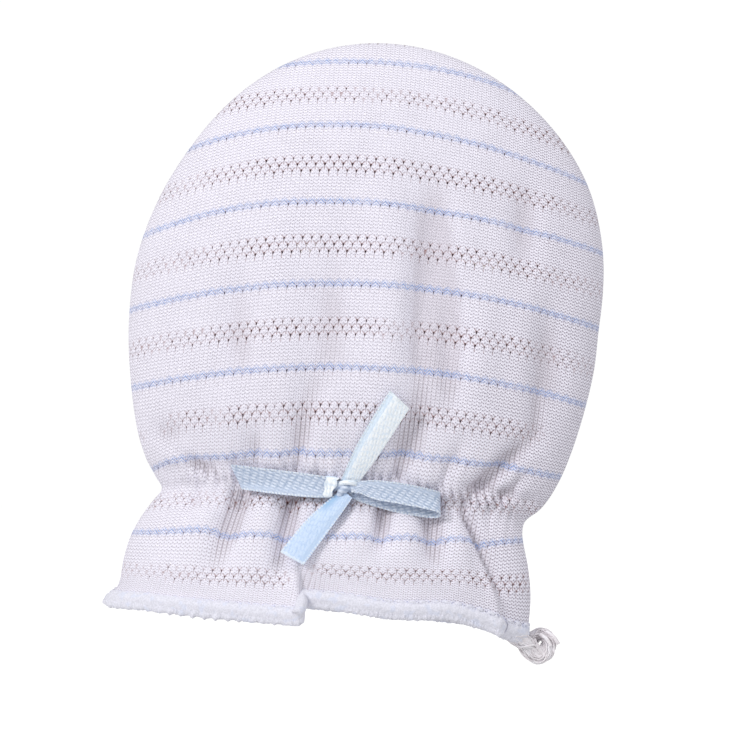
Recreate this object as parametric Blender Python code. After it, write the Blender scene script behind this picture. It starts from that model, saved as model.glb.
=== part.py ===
"""Baby mitten of knitted cotton, filled out as on a hand.

Two knitted panels are sewn together round the sides and the top. An elastic gathers them at
the wrist, and below it they flare into a short ruffled cuff with an overlocked hem. A ribbon
bow sits on the front of the wrist.

Frame: +Z points to the finger tips, -Y is the front with the bow, +X is to the right of the
front. The origin is the middle of the gathered wrist, where the wearer's hand holds it.
Tables and sizes are in millimetres, and MM turns them into Blender's metres.
"""
import math

import bmesh
import bpy
from mathutils import Vector

MM = 0.001
OBJECT_NAME = "baby_mitten"

# Cloth
WALL = 1.2                # thickness of the knitted wall
SEAM_GAP = 0.3            # space between pieces that are sewn together
FULLNESS = 0.8            # 1 gives an elliptic section, less gives a flatter front
NORMAL_STEP = 0.02        # step over which the slope of the form is measured
SEAM_ROUNDS = 4           # rounds in which the seam height under a point is found
SHARP_ANGLE = 50.0        # degrees between faces, above which their edge is drawn sharp

# Crown: half an ellipse above the widest part
CROWN_BASE = 36.0
CROWN_HEIGHT = 45.5
CROWN_HALF_WIDTH = 41.4

# Sections of both panels from the hem to the crown. height is that of the side seams, and the
# middle of the section lies higher by rise. front and back are the depths from the seams.
SECTION_COLUMNS = ("height", "centre", "half_width", "front", "back", "rise")
SECTION_ROWS = (
    (-18.2, -2.5, 37.1, 13.2, 12.2, 0.0),
    (-16.0, -1.6, 36.4, 12.9, 11.9, 0.3),
    (-12.0, -1.4, 36.1, 12.4, 11.4, 0.8),
    (-8.0, -1.3, 35.2, 11.6, 10.6, 1.5),
    (-4.0, -0.9, 33.6, 10.3, 9.5, 2.6),
    (-1.6, -0.3, 32.6, 9.2, 8.6, 3.3),
    (0.0, 0.4, 32.3, 8.8, 8.2, 3.5),
    (2.0, 0.9, 34.1, 9.4, 8.7, 3.4),
    (5.0, 0.9, 36.0, 10.6, 9.6, 3.2),
    (10.0, 0.9, 38.0, 11.9, 10.5, 2.8),
    (18.0, 1.0, 39.9, 13.0, 11.2, 1.8),
    (27.0, 1.1, 41.2, 13.4, 11.4, 0.7),
    (36.0, 1.2, 41.4, 13.4, 11.4, 0.0),
    (50.0, 2.3, 41.4, 13.4, 11.4, 0.0),
    (62.0, 3.0, 41.4, 13.4, 11.4, 0.0),
    (81.5, 2.3, 41.4, 13.4, 11.4, 0.0),
)

# Folds that run out of the gathered wrist, up the body (reach above 0) or down the cuff
# (reach below 0). start and end are their places across the panel, depth is that of a groove.
FOLD_COLUMNS = ("start", "end", "reach", "width", "depth")
FRONT_FOLD_ROWS = (
    (-29.0, -31.0, 5.0, 1.5, 0.5),
    (-24.6, -33.5, 7.5, 2.4, 0.9),
    (-20.0, -21.5, 7.0, 1.4, 0.5),
    (-15.4, -16.5, 12.0, 1.9, 0.8),
    (-12.0, -12.4, 5.0, 1.3, 0.4),
    (-8.3, -6.8, 24.0, 2.0, 1.0),
    (-4.5, -4.8, 6.0, 1.3, 0.5),
    (-0.4, -0.4, 9.0, 1.3, 0.6),
    (3.2, 3.4, 5.0, 1.3, 0.4),
    (6.6, 6.3, 6.0, 1.3, 0.5),
    (10.8, 13.9, 17.0, 1.9, 1.1),
    (15.8, 19.8, 15.0, 1.7, 0.8),
    (20.2, 31.9, 19.0, 2.4, 1.2),
    (24.1, 27.2, 8.0, 1.4, 0.6),
    (27.7, 32.5, 12.0, 1.5, 0.7),
    (-29.5, -32.0, -7.0, 1.6, 0.4),
    (-24.0, -28.5, -9.0, 1.6, 0.5),
    (-16.5, -22.5, -14.0, 2.2, 1.0),
    (-8.1, -11.7, -15.0, 2.0, 1.0),
    (0.9, -2.0, -9.0, 1.7, 0.8),
    (7.1, 5.9, -12.0, 1.9, 0.9),
    (16.0, 15.5, -11.0, 1.9, 0.9),
    (20.9, 29.3, -18.0, 2.1, 1.1),
    (25.3, 29.0, -7.0, 1.4, 0.6),
)
BACK_FOLD_ROWS = (
    (-28.5, -30.5, 6.0, 1.5, 0.5),
    (-23.5, -28.0, 13.0, 1.9, 0.9),
    (-18.6, -20.2, 7.0, 1.4, 0.5),
    (-13.8, -15.6, 18.0, 1.9, 1.0),
    (-9.6, -9.2, 6.0, 1.3, 0.5),
    (-5.2, -6.0, 11.0, 1.6, 0.7),
    (-1.0, -1.2, 6.0, 1.3, 0.5),
    (3.4, 4.2, 21.0, 2.0, 1.1),
    (7.6, 7.2, 6.0, 1.3, 0.4),
    (12.2, 14.6, 13.0, 1.8, 0.8),
    (16.8, 18.2, 7.0, 1.4, 0.5),
    (21.4, 26.6, 16.0, 2.0, 1.0),
    (26.6, 29.4, 7.0, 1.5, 0.6),
    (-27.0, -30.6, -8.0, 1.6, 0.5),
    (-20.4, -24.4, -14.0, 2.1, 1.0),
    (-11.6, -13.0, -11.0, 1.8, 0.8),
    (-3.2, -4.6, -15.0, 2.0, 1.0),
    (5.6, 6.4, -10.0, 1.8, 0.8),
    (13.4, 15.8, -14.0, 2.0, 1.0),
    (20.6, 24.2, -10.0, 1.7, 0.7),
    (26.2, 29.4, -13.0, 1.7, 0.8),
)

FOLD_WIDTHS = (0.7, 1.3)  # share of its width that a fold has at the wrist and at its end
FOLD_BEFORE = 0.12        # share of its reach by which a fold starts beyond the wrist
FOLD_FADE = 1.35          # how late a fold fades towards its end
FOLD_CALM = 0.25          # share of the half width by the seams in which folds flatten

# Pleat in the front of the ruffle: to its right the hem is lifted and lies further back
PLEAT_AT = -5.2
PLEAT_WIDTH = 3.2
PLEAT_TOP = -6.0
PLEAT_LIFT = 2.2
PLEAT_STEP = 1.7
PLEAT_REACH = 7.0
PLEAT_LIFT_FADES = (18.0, 31.0)

# Both panels hang lower at the right corner of the hem
CORNER_DROP = 1.8
CORNER_FROM = 26.0
CORNER_TO = 35.0

# Mesh of a panel: columns across, row heights below the crown, rows in the crown
COLUMNS = 72
ROW_HEIGHTS = (-18.2, -15.4, -12.2, -9.2, -6.4, -4.0, -2.0, -0.5, 1.0, 2.8,
               5.4, 9.0, 14.0, 20.4, 28.0)
CROWN_ROWS = 6

# Hem edge
HEM_THICK = 2.0
HEM_TALL = 1.7
HEM_SIDES = 6

# Bow of flat ribbon
RIBBON_WIDTH = 4.4
RIBBON_WALL = 1.0
RIBBON_COLUMNS = 4
SLANT_FROM = 0.6          # share of a tail from which its rows turn towards the slanted cut
TAIL_ROWS = 10
LOOP_ROWS = 9
LOOP_TURN_ROWS = 4
LOOP_PINCH = 0.35         # share of the gap inside a loop that is left at the knot
KNOT_CENTRE = (0.2, 2.9)
KNOT_SIZE = (4.6, 3.9, 3.6)
KNOT_ROUNDING = 1.0
KNOT_ROUND_ROWS = 3

# Each ribbon runs from the knot to its end, given as places on the front of the mitten. gap
# is the space inside a loop, slant the offset of a cut end, lift the height of a tail's end.
LOOP_COLUMNS = ("name", "knot_x", "knot_z", "end_x", "end_z", "knot_width", "gap")
LOOP_TABLE = (
    ("bow_loop_left", -2.6, 3.2, -17.6, 2.8, 4.4, 0.5),
    ("bow_loop_right", 3.0, 3.4, 15.8, 2.0, 2.4, 1.0),
)
TAIL_COLUMNS = ("name", "knot_x", "knot_z", "end_x", "end_z", "knot_width", "slant", "lift")
TAIL_TABLE = (
    ("bow_tail_upper", 1.6, 5.8, 8.2, 19.0, 2.8, 0.6, 0.4),
    ("bow_tail_lower", -0.7, -0.1, -7.6, -9.4, 2.4, 0.6, 0.4),
)

# Seam tail: a curl of thread at the lower right corner
CURL_RADIUS = 1.0
CURL_ROUNDNESS = 2
CURL_STEPS = 3            # steps between two of its points
CURL_POINTS = (
    (36.4, 0.0, -20.6),
    (36.1, -0.8, -22.6),
    (36.6, -1.3, -24.2),
    (38.0, -1.3, -24.1),
    (39.1, -0.8, -22.5),
    (39.1, 0.0, -20.6),
    (38.0, 0.6, -18.9),
)


def read_table(columns, rows):
    """Turn rows of numbers into rows with named values."""
    return [dict(zip(columns, row)) for row in rows]


SECTIONS = read_table(SECTION_COLUMNS, SECTION_ROWS)
FRONT_FOLDS = read_table(FOLD_COLUMNS, FRONT_FOLD_ROWS)
BACK_FOLDS = read_table(FOLD_COLUMNS, BACK_FOLD_ROWS)


def smooth(value):
    """Rise from 0 to 1 with a level start and end."""
    value = min(1.0, max(0.0, value))
    return value * value * (3.0 - 2.0 * value)


def section_slope(index, name):
    """Slope of a section value at a row, from the rows on both sides of it."""
    before = SECTIONS[max(index - 1, 0)]
    after = SECTIONS[min(index + 1, len(SECTIONS) - 1)]
    return (after[name] - before[name]) / (after["height"] - before["height"])


def section(height, name):
    """Value of a section at any height: a smooth curve through the table's rows."""
    index = 0
    while index < len(SECTIONS) - 2 and SECTIONS[index + 1]["height"] <= height:
        index += 1
    low, high = SECTIONS[index], SECTIONS[index + 1]
    span = high["height"] - low["height"]
    part = (height - low["height"]) / span
    if part <= 0.0:
        return low[name] + section_slope(index, name) * part * span
    part = min(part, 1.0)
    rest = 1.0 - part
    return (low[name] * (1.0 + 2.0 * part) * rest ** 2
            + section_slope(index, name) * span * part * rest ** 2
            + high[name] * part ** 2 * (3.0 - 2.0 * part)
            - section_slope(index + 1, name) * span * part ** 2 * rest)


def seam_height(x, z):
    """Height at the side seams of the section that passes through a point."""
    height = z
    for _ in range(SEAM_ROUNDS):
        across = (x - section(height, "centre")) / section(height, "half_width")
        height = z - section(height, "rise") * (1.0 - min(1.0, across * across))
    return height


def plan_reach(x, z):
    """0 on the middle line of the pouch and 1 on its outline, squared."""
    height = seam_height(x, z)
    if height <= CROWN_BASE:
        across = (x - section(height, "centre")) / section(height, "half_width")
        return across * across
    across = (x - section(z, "centre")) / CROWN_HALF_WIDTH
    up = (z - CROWN_BASE) / CROWN_HEIGHT
    return across * across + up * up


def form_value(x, y, z, depth_name):
    """Below 0 inside the smooth pouch and above 0 outside it."""
    depth = section(seam_height(x, z), depth_name)
    return (abs(y) / depth) ** (2.0 / FULLNESS) + plan_reach(x, z) - 1.0


def form_normal(x, y, z, depth_name):
    """Outward direction of the smooth pouch, for a depth y counted from the seams."""
    step = NORMAL_STEP
    slope_x = (form_value(x + step, y, z, depth_name)
               - form_value(x - step, y, z, depth_name))
    slope_z = (form_value(x, y, z + step, depth_name)
               - form_value(x, y, z - step, depth_name))
    slope_y = 0.0
    if y > step:
        slope_y = (form_value(x, y + step, z, depth_name)
                   - form_value(x, y - step, z, depth_name))
    return Vector((slope_x, slope_y, slope_z)).normalized()


def column_place(column):
    """Place of a column across the panel, from -1 to 1, closer together at the seams."""
    even = 2.0 * column / COLUMNS - 1.0
    return 0.5 * even + 0.5 * math.sin(0.5 * math.pi * even)


def body_point(across, height, depth_name):
    """Point on the smooth pouch below the crown."""
    z = height + section(height, "rise") * (1.0 - across * across)
    x = section(height, "centre") + across * section(height, "half_width")
    y = section(height, depth_name) * (1.0 - across * across) ** (0.5 * FULLNESS)
    return x, y, z


def crown_point(across, up, depth_name):
    """Point on the crown: a square grid drawn onto half an ellipse, so it has no pole."""
    z = CROWN_BASE + CROWN_HEIGHT * up * math.sqrt(1.0 - 0.5 * across * across)
    x = section(z, "centre") + CROWN_HALF_WIDTH * across * math.sqrt(1.0 - 0.5 * up * up)
    rest = max(0.0, (1.0 - across * across) * (1.0 - up * up))
    y = section(CROWN_BASE, depth_name) * rest ** (0.5 * FULLNESS)
    return x, y, z


def fold_depth(fold, x, z, wrist):
    """How far one fold sinks the cloth at a point."""
    along = (z - wrist) / fold["reach"]
    if along < -FOLD_BEFORE or along > 1.0:
        return 0.0
    narrow, wide = FOLD_WIDTHS
    middle = fold["start"] + (fold["end"] - fold["start"]) * along
    off = (x - middle) / (fold["width"] * (narrow + (wide - narrow) * along))
    start = smooth(0.5 * (along + FOLD_BEFORE) / FOLD_BEFORE)
    return fold["depth"] * math.exp(-off * off) * start * smooth(FOLD_FADE * (1.0 - along))


def pleat_side(x):
    """0 to the left of the pleat and 1 to its right."""
    return smooth((x - PLEAT_AT) / PLEAT_WIDTH + 0.5)


def down_the_ruffle(z):
    """0 at the top of the pleat and 1 at the hem."""
    return smooth((PLEAT_TOP - z) / (PLEAT_TOP - SECTIONS[0]["height"]))


def pleat_lift(x, z):
    """How far the front of the ruffle is pulled up to the right of the pleat."""
    start, end = PLEAT_LIFT_FADES
    fade = 1.0 - smooth((x - start) / (end - start))
    return PLEAT_LIFT * down_the_ruffle(z) * pleat_side(x) * fade


def pleat_step(x, z):
    """Cloth stands out to the left of the pleat and lies back to its right."""
    near = math.exp(-((x - PLEAT_AT) / PLEAT_REACH) ** 2)
    return PLEAT_STEP * down_the_ruffle(z) * near * (0.5 - pleat_side(x))


def corner_drop(x, z):
    """How far the right corner of the hem hangs down."""
    return CORNER_DROP * down_the_ruffle(z) * smooth((x - CORNER_FROM) / (CORNER_TO - CORNER_FROM))


def gather(folds, across, x, z):
    """Distance that the folds move the cloth outwards, 0 along the seams."""
    wrist = section(0.0, "rise") * (1.0 - across * across)
    sunk = sum(fold_depth(fold, x, z, wrist) for fold in folds)
    return -sunk * min(1.0, (1.0 - abs(across)) / FOLD_CALM)


def panel_grid(side):
    """Rows of (outer point, inner point) of one panel. side is -1 in front, 1 at the back."""
    depth_name = "front" if side < 0 else "back"
    folds = FRONT_FOLDS if side < 0 else BACK_FOLDS
    rows = []
    for height in ROW_HEIGHTS:
        rows.append([body_point(column_place(i), height, depth_name)
                     for i in range(COLUMNS + 1)])
    for row in range(CROWN_ROWS + 1):
        up = math.sin(0.5 * math.pi * row / CROWN_ROWS)
        rows.append([crown_point(column_place(i), up, depth_name)
                     for i in range(COLUMNS + 1)])
    grid = []
    for row in rows:
        line = []
        for i, (x, y, z) in enumerate(row):
            across = column_place(i)
            normal = form_normal(x, y, z, depth_name)
            out = gather(folds, across, x, z) if z < CROWN_BASE else 0.0
            lift = -corner_drop(x, z)
            if side < 0:
                out += pleat_step(x, z)
                lift += pleat_lift(x, z)
            base = Vector((x, y + 0.5 * SEAM_GAP, z + lift))
            pair = [base + normal * out, base + normal * (out - WALL)]
            line.append([Vector((p.x, side * p.y, p.z)) for p in pair])
        grid.append(line)
    return grid


def closed_sheet(name, outer, inner, material):
    """One closed body between two matching grids of points, in millimetres."""
    mesh = bpy.data.meshes.new(name)
    bm = bmesh.new()
    tops = [[bm.verts.new(p * MM) for p in row] for row in outer]
    lows = [[bm.verts.new(p * MM) for p in row] for row in inner]
    rows, columns = len(tops) - 1, len(tops[0]) - 1
    for j in range(rows):
        for i in range(columns):
            bm.faces.new((tops[j][i], tops[j][i + 1], tops[j + 1][i + 1], tops[j + 1][i]))
            bm.faces.new((lows[j][i], lows[j + 1][i], lows[j + 1][i + 1], lows[j][i + 1]))
    for i in range(columns):
        bm.faces.new((lows[0][i], lows[0][i + 1], tops[0][i + 1], tops[0][i]))
        bm.faces.new((tops[rows][i], tops[rows][i + 1], lows[rows][i + 1], lows[rows][i]))
    for j in range(rows):
        bm.faces.new((tops[j][0], tops[j + 1][0], lows[j + 1][0], lows[j][0]))
        bm.faces.new((lows[j][columns], lows[j + 1][columns],
                      tops[j + 1][columns], tops[j][columns]))
    bmesh.ops.recalc_face_normals(bm, faces=bm.faces)
    bm.to_mesh(mesh)
    bm.free()
    return finish_piece(name, mesh, material)


def finish_piece(name, mesh, material):
    """Make an object of a mesh, smooth shaded, in the part's collection."""
    mesh.materials.append(material)
    mesh.shade_smooth()
    mesh.set_sharp_from_angle(angle=math.radians(SHARP_ANGLE))
    piece = bpy.data.objects.new(name, mesh)
    bpy.data.collections[OBJECT_NAME].objects.link(piece)
    return piece


def make_material(name, colour, roughness):
    """Plain Principled material."""
    material = bpy.data.materials.new(name)
    material.use_nodes = True
    shader = material.node_tree.nodes["Principled BSDF"]
    shader.inputs["Base Color"].default_value = (*colour, 1.0)
    shader.inputs["Roughness"].default_value = roughness
    shader.inputs["Metallic"].default_value = 0.0
    return material


def make_panel(name, side, material):
    """Front or back panel: a knitted wall that is open at the hem."""
    grid = panel_grid(side)
    outer = [[pair[0] for pair in row] for row in grid]
    inner = [[pair[1] for pair in row] for row in grid]
    closed_sheet(name, outer, inner, material)
    return grid


def make_hem(name, side, panel_rows, material):
    """Overlocked edge: a soft cord along the lowest row of a panel."""
    low, above = panel_rows[0], panel_rows[1]
    rings = []
    for i in range(COLUMNS + 1):
        middle = (low[i][0] + low[i][1]) * 0.5
        run = low[min(i + 1, COLUMNS)][0] - low[max(i - 1, 0)][0]
        out = (low[i][0] - low[i][1]).normalized()
        down = out.cross(run).normalized()
        if down.dot(low[i][0] - above[i][0]) < 0.0:
            down = -down
        centre = middle + down * (SEAM_GAP + 0.5 * HEM_TALL)
        ring = []
        for k in range(HEM_SIDES):
            turn = 2.0 * math.pi * k / HEM_SIDES
            point = (centre + out * (0.5 * HEM_THICK * math.cos(turn))
                     + down * (0.5 * HEM_TALL * math.sin(turn)))
            point.y = side * max(0.5 * SEAM_GAP, side * point.y)
            ring.append(point)
        rings.append(ring)
    make_tube(name, rings, material)


def make_tube(name, rings, material):
    """Closed body through rings of points, in millimetres, with a flat cap at each end."""
    mesh = bpy.data.meshes.new(name)
    bm = bmesh.new()
    loops = [[bm.verts.new(p * MM) for p in ring] for ring in rings]
    sides = len(loops[0])
    for first, second in zip(loops, loops[1:]):
        for k in range(sides):
            near = (k + 1) % sides
            bm.faces.new((first[k], first[near], second[near], second[k]))
    bm.faces.new(loops[0])
    bm.faces.new(loops[-1])
    bmesh.ops.recalc_face_normals(bm, faces=bm.faces)
    bm.to_mesh(mesh)
    bm.free()
    finish_piece(name, mesh, material)


def cover_depth(x, z):
    """Depth of the front of the pouch at a point, over its gathers."""
    height = seam_height(x, z)
    across = (x - section(height, "centre")) / section(height, "half_width")
    depth = section(height, "front") * (1.0 - across * across) ** (0.5 * FULLNESS)
    return depth + 0.5 * SEAM_GAP


def ribbon_layer(ribbon, steps, slant, lift):
    """Direction and two grids of points, front and rear, of a ribbon lying on the panel."""
    start = Vector((ribbon["knot_x"], 0.0, ribbon["knot_z"]))
    run = Vector((ribbon["end_x"], 0.0, ribbon["end_z"])) - start
    along = run.normalized()
    aside = Vector((-along.z, 0.0, along.x))
    front, rear = [], []
    for step in range(steps + 1):
        part = step / steps
        width = ribbon["knot_width"] + (RIBBON_WIDTH - ribbon["knot_width"]) * smooth(2.0 * part)
        shear = slant * smooth((part - SLANT_FROM) / (1.0 - SLANT_FROM))
        front_row, rear_row = [], []
        for k in range(RIBBON_COLUMNS + 1):
            side = 2.0 * k / RIBBON_COLUMNS - 1.0
            place = start + run * part + aside * (0.5 * width * side) - along * (shear * side)
            depth = cover_depth(place.x, place.z) + SEAM_GAP + lift * part
            rear_row.append(Vector((place.x, -depth, place.z)))
            front_row.append(Vector((place.x, -depth - RIBBON_WALL, place.z)))
        front.append(front_row)
        rear.append(rear_row)
    return along, front, rear


def make_tail(tail, material):
    """Free ribbon end, lying on the panel and cut at a slant."""
    _, front, rear = ribbon_layer(tail, TAIL_ROWS, tail["slant"], tail["lift"])
    closed_sheet(tail["name"], front, rear, material)


def make_loop(loop, material):
    """Ribbon folded back on itself: a rear layer, a round end and a front layer."""
    along, inner, outer = ribbon_layer(loop, LOOP_ROWS, 0.0, 0.0)
    rear_front = list(inner)
    forward = Vector((0.0, -1.0, 0.0))
    radius = 0.5 * loop["gap"]
    centres = [p + forward * radius for p in rear_front[-1]]
    for step in range(1, LOOP_TURN_ROWS):
        turn = math.pi * step / LOOP_TURN_ROWS
        swing = along * math.sin(turn) - forward * math.cos(turn)
        inner.append([c + swing * radius for c in centres])
        outer.append([c + swing * (radius + RIBBON_WALL) for c in centres])
    for index in range(LOOP_ROWS, -1, -1):
        space = loop["gap"] * (LOOP_PINCH + (1.0 - LOOP_PINCH) * index / LOOP_ROWS)
        inner.append([p + forward * space for p in rear_front[index]])
        outer.append([p + forward * (space + RIBBON_WALL) for p in rear_front[index]])
    closed_sheet(loop["name"], outer, inner, material)


def make_knot(name, material):
    """Wrap of ribbon round the middle of the bow: a soft rounded block."""
    mesh = bpy.data.meshes.new(name)
    bm = bmesh.new()
    bmesh.ops.create_cube(bm, size=1.0)
    width, height, thick = KNOT_SIZE
    x, z = KNOT_CENTRE
    depth = cover_depth(x, z) + SEAM_GAP + 0.5 * thick
    for vert in bm.verts:
        vert.co = Vector((x + vert.co.x * width, -depth + vert.co.y * thick,
                          z + vert.co.z * height)) * MM
    bmesh.ops.bevel(bm, geom=bm.edges[:], offset=KNOT_ROUNDING * MM,
                    segments=KNOT_ROUND_ROWS, profile=0.5, affect='EDGES')
    bm.to_mesh(mesh)
    bm.free()
    finish_piece(name, mesh, material)


def make_seam_tail(name, material):
    """Curled end of the seam's thread chain at the lower right corner."""
    points = [Vector(p) for p in CURL_POINTS]
    path = []
    for index in range(len(points) - 1):
        before = points[max(index - 1, 0)]
        first, second = points[index], points[index + 1]
        after = points[min(index + 2, len(points) - 1)]
        for step in range(CURL_STEPS):
            t = step / CURL_STEPS
            path.append(0.5 * ((2.0 * first) + (second - before) * t
                               + (2.0 * before - 5.0 * first + 4.0 * second - after) * t ** 2
                               + (3.0 * first - before - 3.0 * second + after) * t ** 3))
    path.append(points[-1])
    curve = bpy.data.curves.new(name, 'CURVE')
    curve.dimensions = '3D'
    curve.bevel_depth = CURL_RADIUS * MM
    curve.bevel_resolution = CURL_ROUNDNESS
    curve.use_fill_caps = True
    spline = curve.splines.new('POLY')
    spline.points.add(len(path) - 1)
    for place, point in zip(spline.points, path):
        place.co = (*(point * MM), 1.0)
    curve.materials.append(material)
    piece = bpy.data.objects.new(name, curve)
    bpy.data.collections[OBJECT_NAME].objects.link(piece)


def main():
    """Build the mitten in an empty scene."""
    for thing in list(bpy.data.objects):
        bpy.data.objects.remove(thing)
    collection = bpy.data.collections.new(OBJECT_NAME)
    bpy.context.scene.collection.children.link(collection)
    knit = make_material("knit_cotton", (0.86, 0.85, 0.90), 0.9)
    thread = make_material("overlock_thread", (0.90, 0.90, 0.93), 0.9)
    satin = make_material("satin_ribbon", (0.55, 0.72, 0.86), 0.4)

    front_rows = make_panel("front_panel", -1, knit)
    back_rows = make_panel("back_panel", 1, knit)
    make_hem("hem_edge_front", -1, front_rows, thread)
    make_hem("hem_edge_back", 1, back_rows, thread)
    make_seam_tail("seam_tail", thread)

    for loop in read_table(LOOP_COLUMNS, LOOP_TABLE):
        make_loop(loop, satin)
    for tail in read_table(TAIL_COLUMNS, TAIL_TABLE):
        make_tail(tail, satin)
    make_knot("bow_knot", satin)


main()
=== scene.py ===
# %% [markdown]
# # A baby mitten of pointelle knit, with a ribbon bow
# The real thing is two soft knitted panels sewn together round the edge, gathered by an elastic
# at the wrist, with a short ruffle below it, an overlocked hem and a tied satin ribbon on the
# front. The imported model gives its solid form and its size. This script dresses that form: each
# soft solid is replaced by thin cloth, thread or ribbon that lies in the same place.
#
# Lengths are written in millimetres, because knit is counted in parts of a millimetre, and MM
# turns them into Blender's metres when a mesh is made.

import math

import bpy
import numpy as np
from mathutils import Matrix


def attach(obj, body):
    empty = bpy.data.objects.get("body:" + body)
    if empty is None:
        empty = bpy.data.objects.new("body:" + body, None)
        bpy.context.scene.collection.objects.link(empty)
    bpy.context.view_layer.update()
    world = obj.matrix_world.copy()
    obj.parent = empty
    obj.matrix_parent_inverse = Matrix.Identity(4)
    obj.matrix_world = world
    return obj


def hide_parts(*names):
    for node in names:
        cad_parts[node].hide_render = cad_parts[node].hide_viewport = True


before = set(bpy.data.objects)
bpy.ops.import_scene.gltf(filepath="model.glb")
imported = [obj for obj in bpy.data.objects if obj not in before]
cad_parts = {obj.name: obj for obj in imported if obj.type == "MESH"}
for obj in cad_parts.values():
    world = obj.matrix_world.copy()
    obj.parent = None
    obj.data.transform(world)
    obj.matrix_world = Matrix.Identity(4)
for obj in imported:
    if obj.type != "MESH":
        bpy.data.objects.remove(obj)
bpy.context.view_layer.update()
MM = 0.001
print("frame nodes:", ", ".join(sorted(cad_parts)))

# %% [markdown]
# ## Camera
# A long lens from half a metre keeps the mitten's proportions natural. The mitten stands a
# little tilted in the picture, so the camera is rolled instead of the mitten: every piece then
# keeps the frame's own axes.

# %% Camera
CAMERA_PLACE = (3.87, -450.0, 23.15)
CAMERA_ROLL = 5.0
CAMERA_LENS = 123.1

camera_data = bpy.data.cameras.new("camera")
camera_data.lens = CAMERA_LENS
camera_data.clip_start = 0.01
camera = bpy.data.objects.new("camera", camera_data)
bpy.context.scene.collection.objects.link(camera)
roll = math.radians(CAMERA_ROLL)
turned = Matrix(((math.cos(roll), -math.sin(roll), 0.0),
                 (0.0, 0.0, -1.0),
                 (math.sin(roll), math.cos(roll), 0.0)))
camera.matrix_world = Matrix.Translation([c * MM for c in CAMERA_PLACE]) @ turned.to_4x4()
bpy.context.scene.camera = camera
print("camera at", [round(c, 3) for c in camera.location])

# %% [markdown]
# ## Shader maths
# A finish is a graph of nodes, and a long graph is hard to read as code. The small class below
# wraps one socket, so that a sum or a product of two sockets is written as in plain Python and
# adds its Math node by itself. Every other node comes from its method called node.


# %% A socket that can be calculated with
class Shade:
    """One output of a node. Python's operators on it add Math nodes."""

    def __init__(self, tree, socket=None):
        self.tree = tree
        self.socket = socket

    def node(self, kind, settings=None, inputs=None, output=0):
        """Add a node with its settings and the values or links of its sockets."""
        made = self.tree.nodes.new("ShaderNode" + kind)
        for name, value in (settings or {}).items():
            if name == "stops":
                self.set_stops(made.color_ramp, value)
            else:
                setattr(made, name, value)
        for name, value in (inputs or {}).items():
            if isinstance(value, Shade):
                self.tree.links.new(value.socket, made.inputs[name])
            else:
                made.inputs[name].default_value = value
        return Shade(self.tree, made.outputs[output])

    @staticmethod
    def set_stops(ramp, stops):
        """Give a colour ramp its stops, as pairs of a place and a colour."""
        while len(ramp.elements) < len(stops):
            ramp.elements.new(1.0)
        for element, (place, colour) in zip(ramp.elements, stops):
            element.position = place
            element.color = (*colour, 1.0)

    def calculate(self, operation, *values):
        """Add a Math node."""
        return self.node("Math", {"operation": operation}, dict(enumerate(values)))

    def __add__(self, other):
        return self.calculate("ADD", self, other)

    def __mul__(self, other):
        return self.calculate("MULTIPLY", self, other)

    __radd__ = __add__
    __rmul__ = __mul__

    def __sub__(self, other):
        return self.calculate("SUBTRACT", self, other)

    def __rsub__(self, other):
        return self.calculate("SUBTRACT", other, self)

    def __truediv__(self, other):
        return self.calculate("DIVIDE", self, other)

    def __pow__(self, other):
        return self.calculate("POWER", self, other)

    def __abs__(self):
        return self.calculate("ABSOLUTE", self)

    def cosine(self, period):
        """1 at whole periods and -1 halfway between them."""
        return self.calculate("COSINE", self * (2.0 * math.pi / period))

    def folded(self, period, middle=0.0):
        """Distance from the nearest repeat of a place, below 0 before it."""
        return (self.calculate("FRACT", (self - middle) / period + 0.5) - 0.5) * period

    def between(self, low, high):
        """Rise smoothly from 0 at low to 1 at high."""
        return self.node("MapRange", {"interpolation_type": "SMOOTHSTEP"},
                         {"Value": self, "From Min": low, "From Max": high})

    def mix(self, first, second):
        """Mix two colours by this value."""
        return self.node("Mix", {"data_type": "RGBA"}, {0: self, 6: first, 7: second}, output=2)

    def noise(self, scale, detail=2.0, roughness=0.5, dimensions="2D"):
        """Soft random values over places such as this one."""
        return self.node("TexNoise", {"noise_dimensions": dimensions},
                         {"Vector": self, "Scale": scale, "Detail": detail, "Roughness": roughness})

    def split(self):
        """The first and the second part of a place."""
        first = self.node("SeparateXYZ", {}, {"Vector": self})
        return first, Shade(self.tree, first.socket.node.outputs[1])


def start_finish(name, roughness, sheen=0.0, sheen_roughness=0.5):
    """Make a material, and give it, its shader and a Shade to begin with."""
    material = bpy.data.materials.new(name)
    material.use_nodes = True
    shader = material.node_tree.nodes["Principled BSDF"]
    shader.inputs["Roughness"].default_value = roughness
    shader.inputs["Sheen Weight"].default_value = sheen
    shader.inputs["Sheen Roughness"].default_value = sheen_roughness
    return material, shader, Shade(material.node_tree)


def finish_surface(shader, start, colour, relief, height_mm):
    """Feed the shader a colour and a relief of the given height."""
    bump = start.node("Bump", {}, {"Strength": 1.0, "Distance": height_mm * MM, "Height": relief})
    start.tree.links.new(colour.socket, shader.inputs["Base Color"])
    start.tree.links.new(bump.socket, shader.inputs["Normal"])


# %% [markdown]
# ## Stage and light
# The floor is one pale sheet, far enough below the mitten to leave its edges clear, and it runs
# out to the horizon in a world of the same white. Both are brighter to the camera than to the
# cloth, as a lit backdrop is, so they stay white while the cloth keeps its shades. Three soft
# panels light it: a small strong one at the left, as by a window, which rakes over the folds, a
# large one at the upper right, which fills their shade, and a weak one from below, as light
# that a table throws back.

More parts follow.
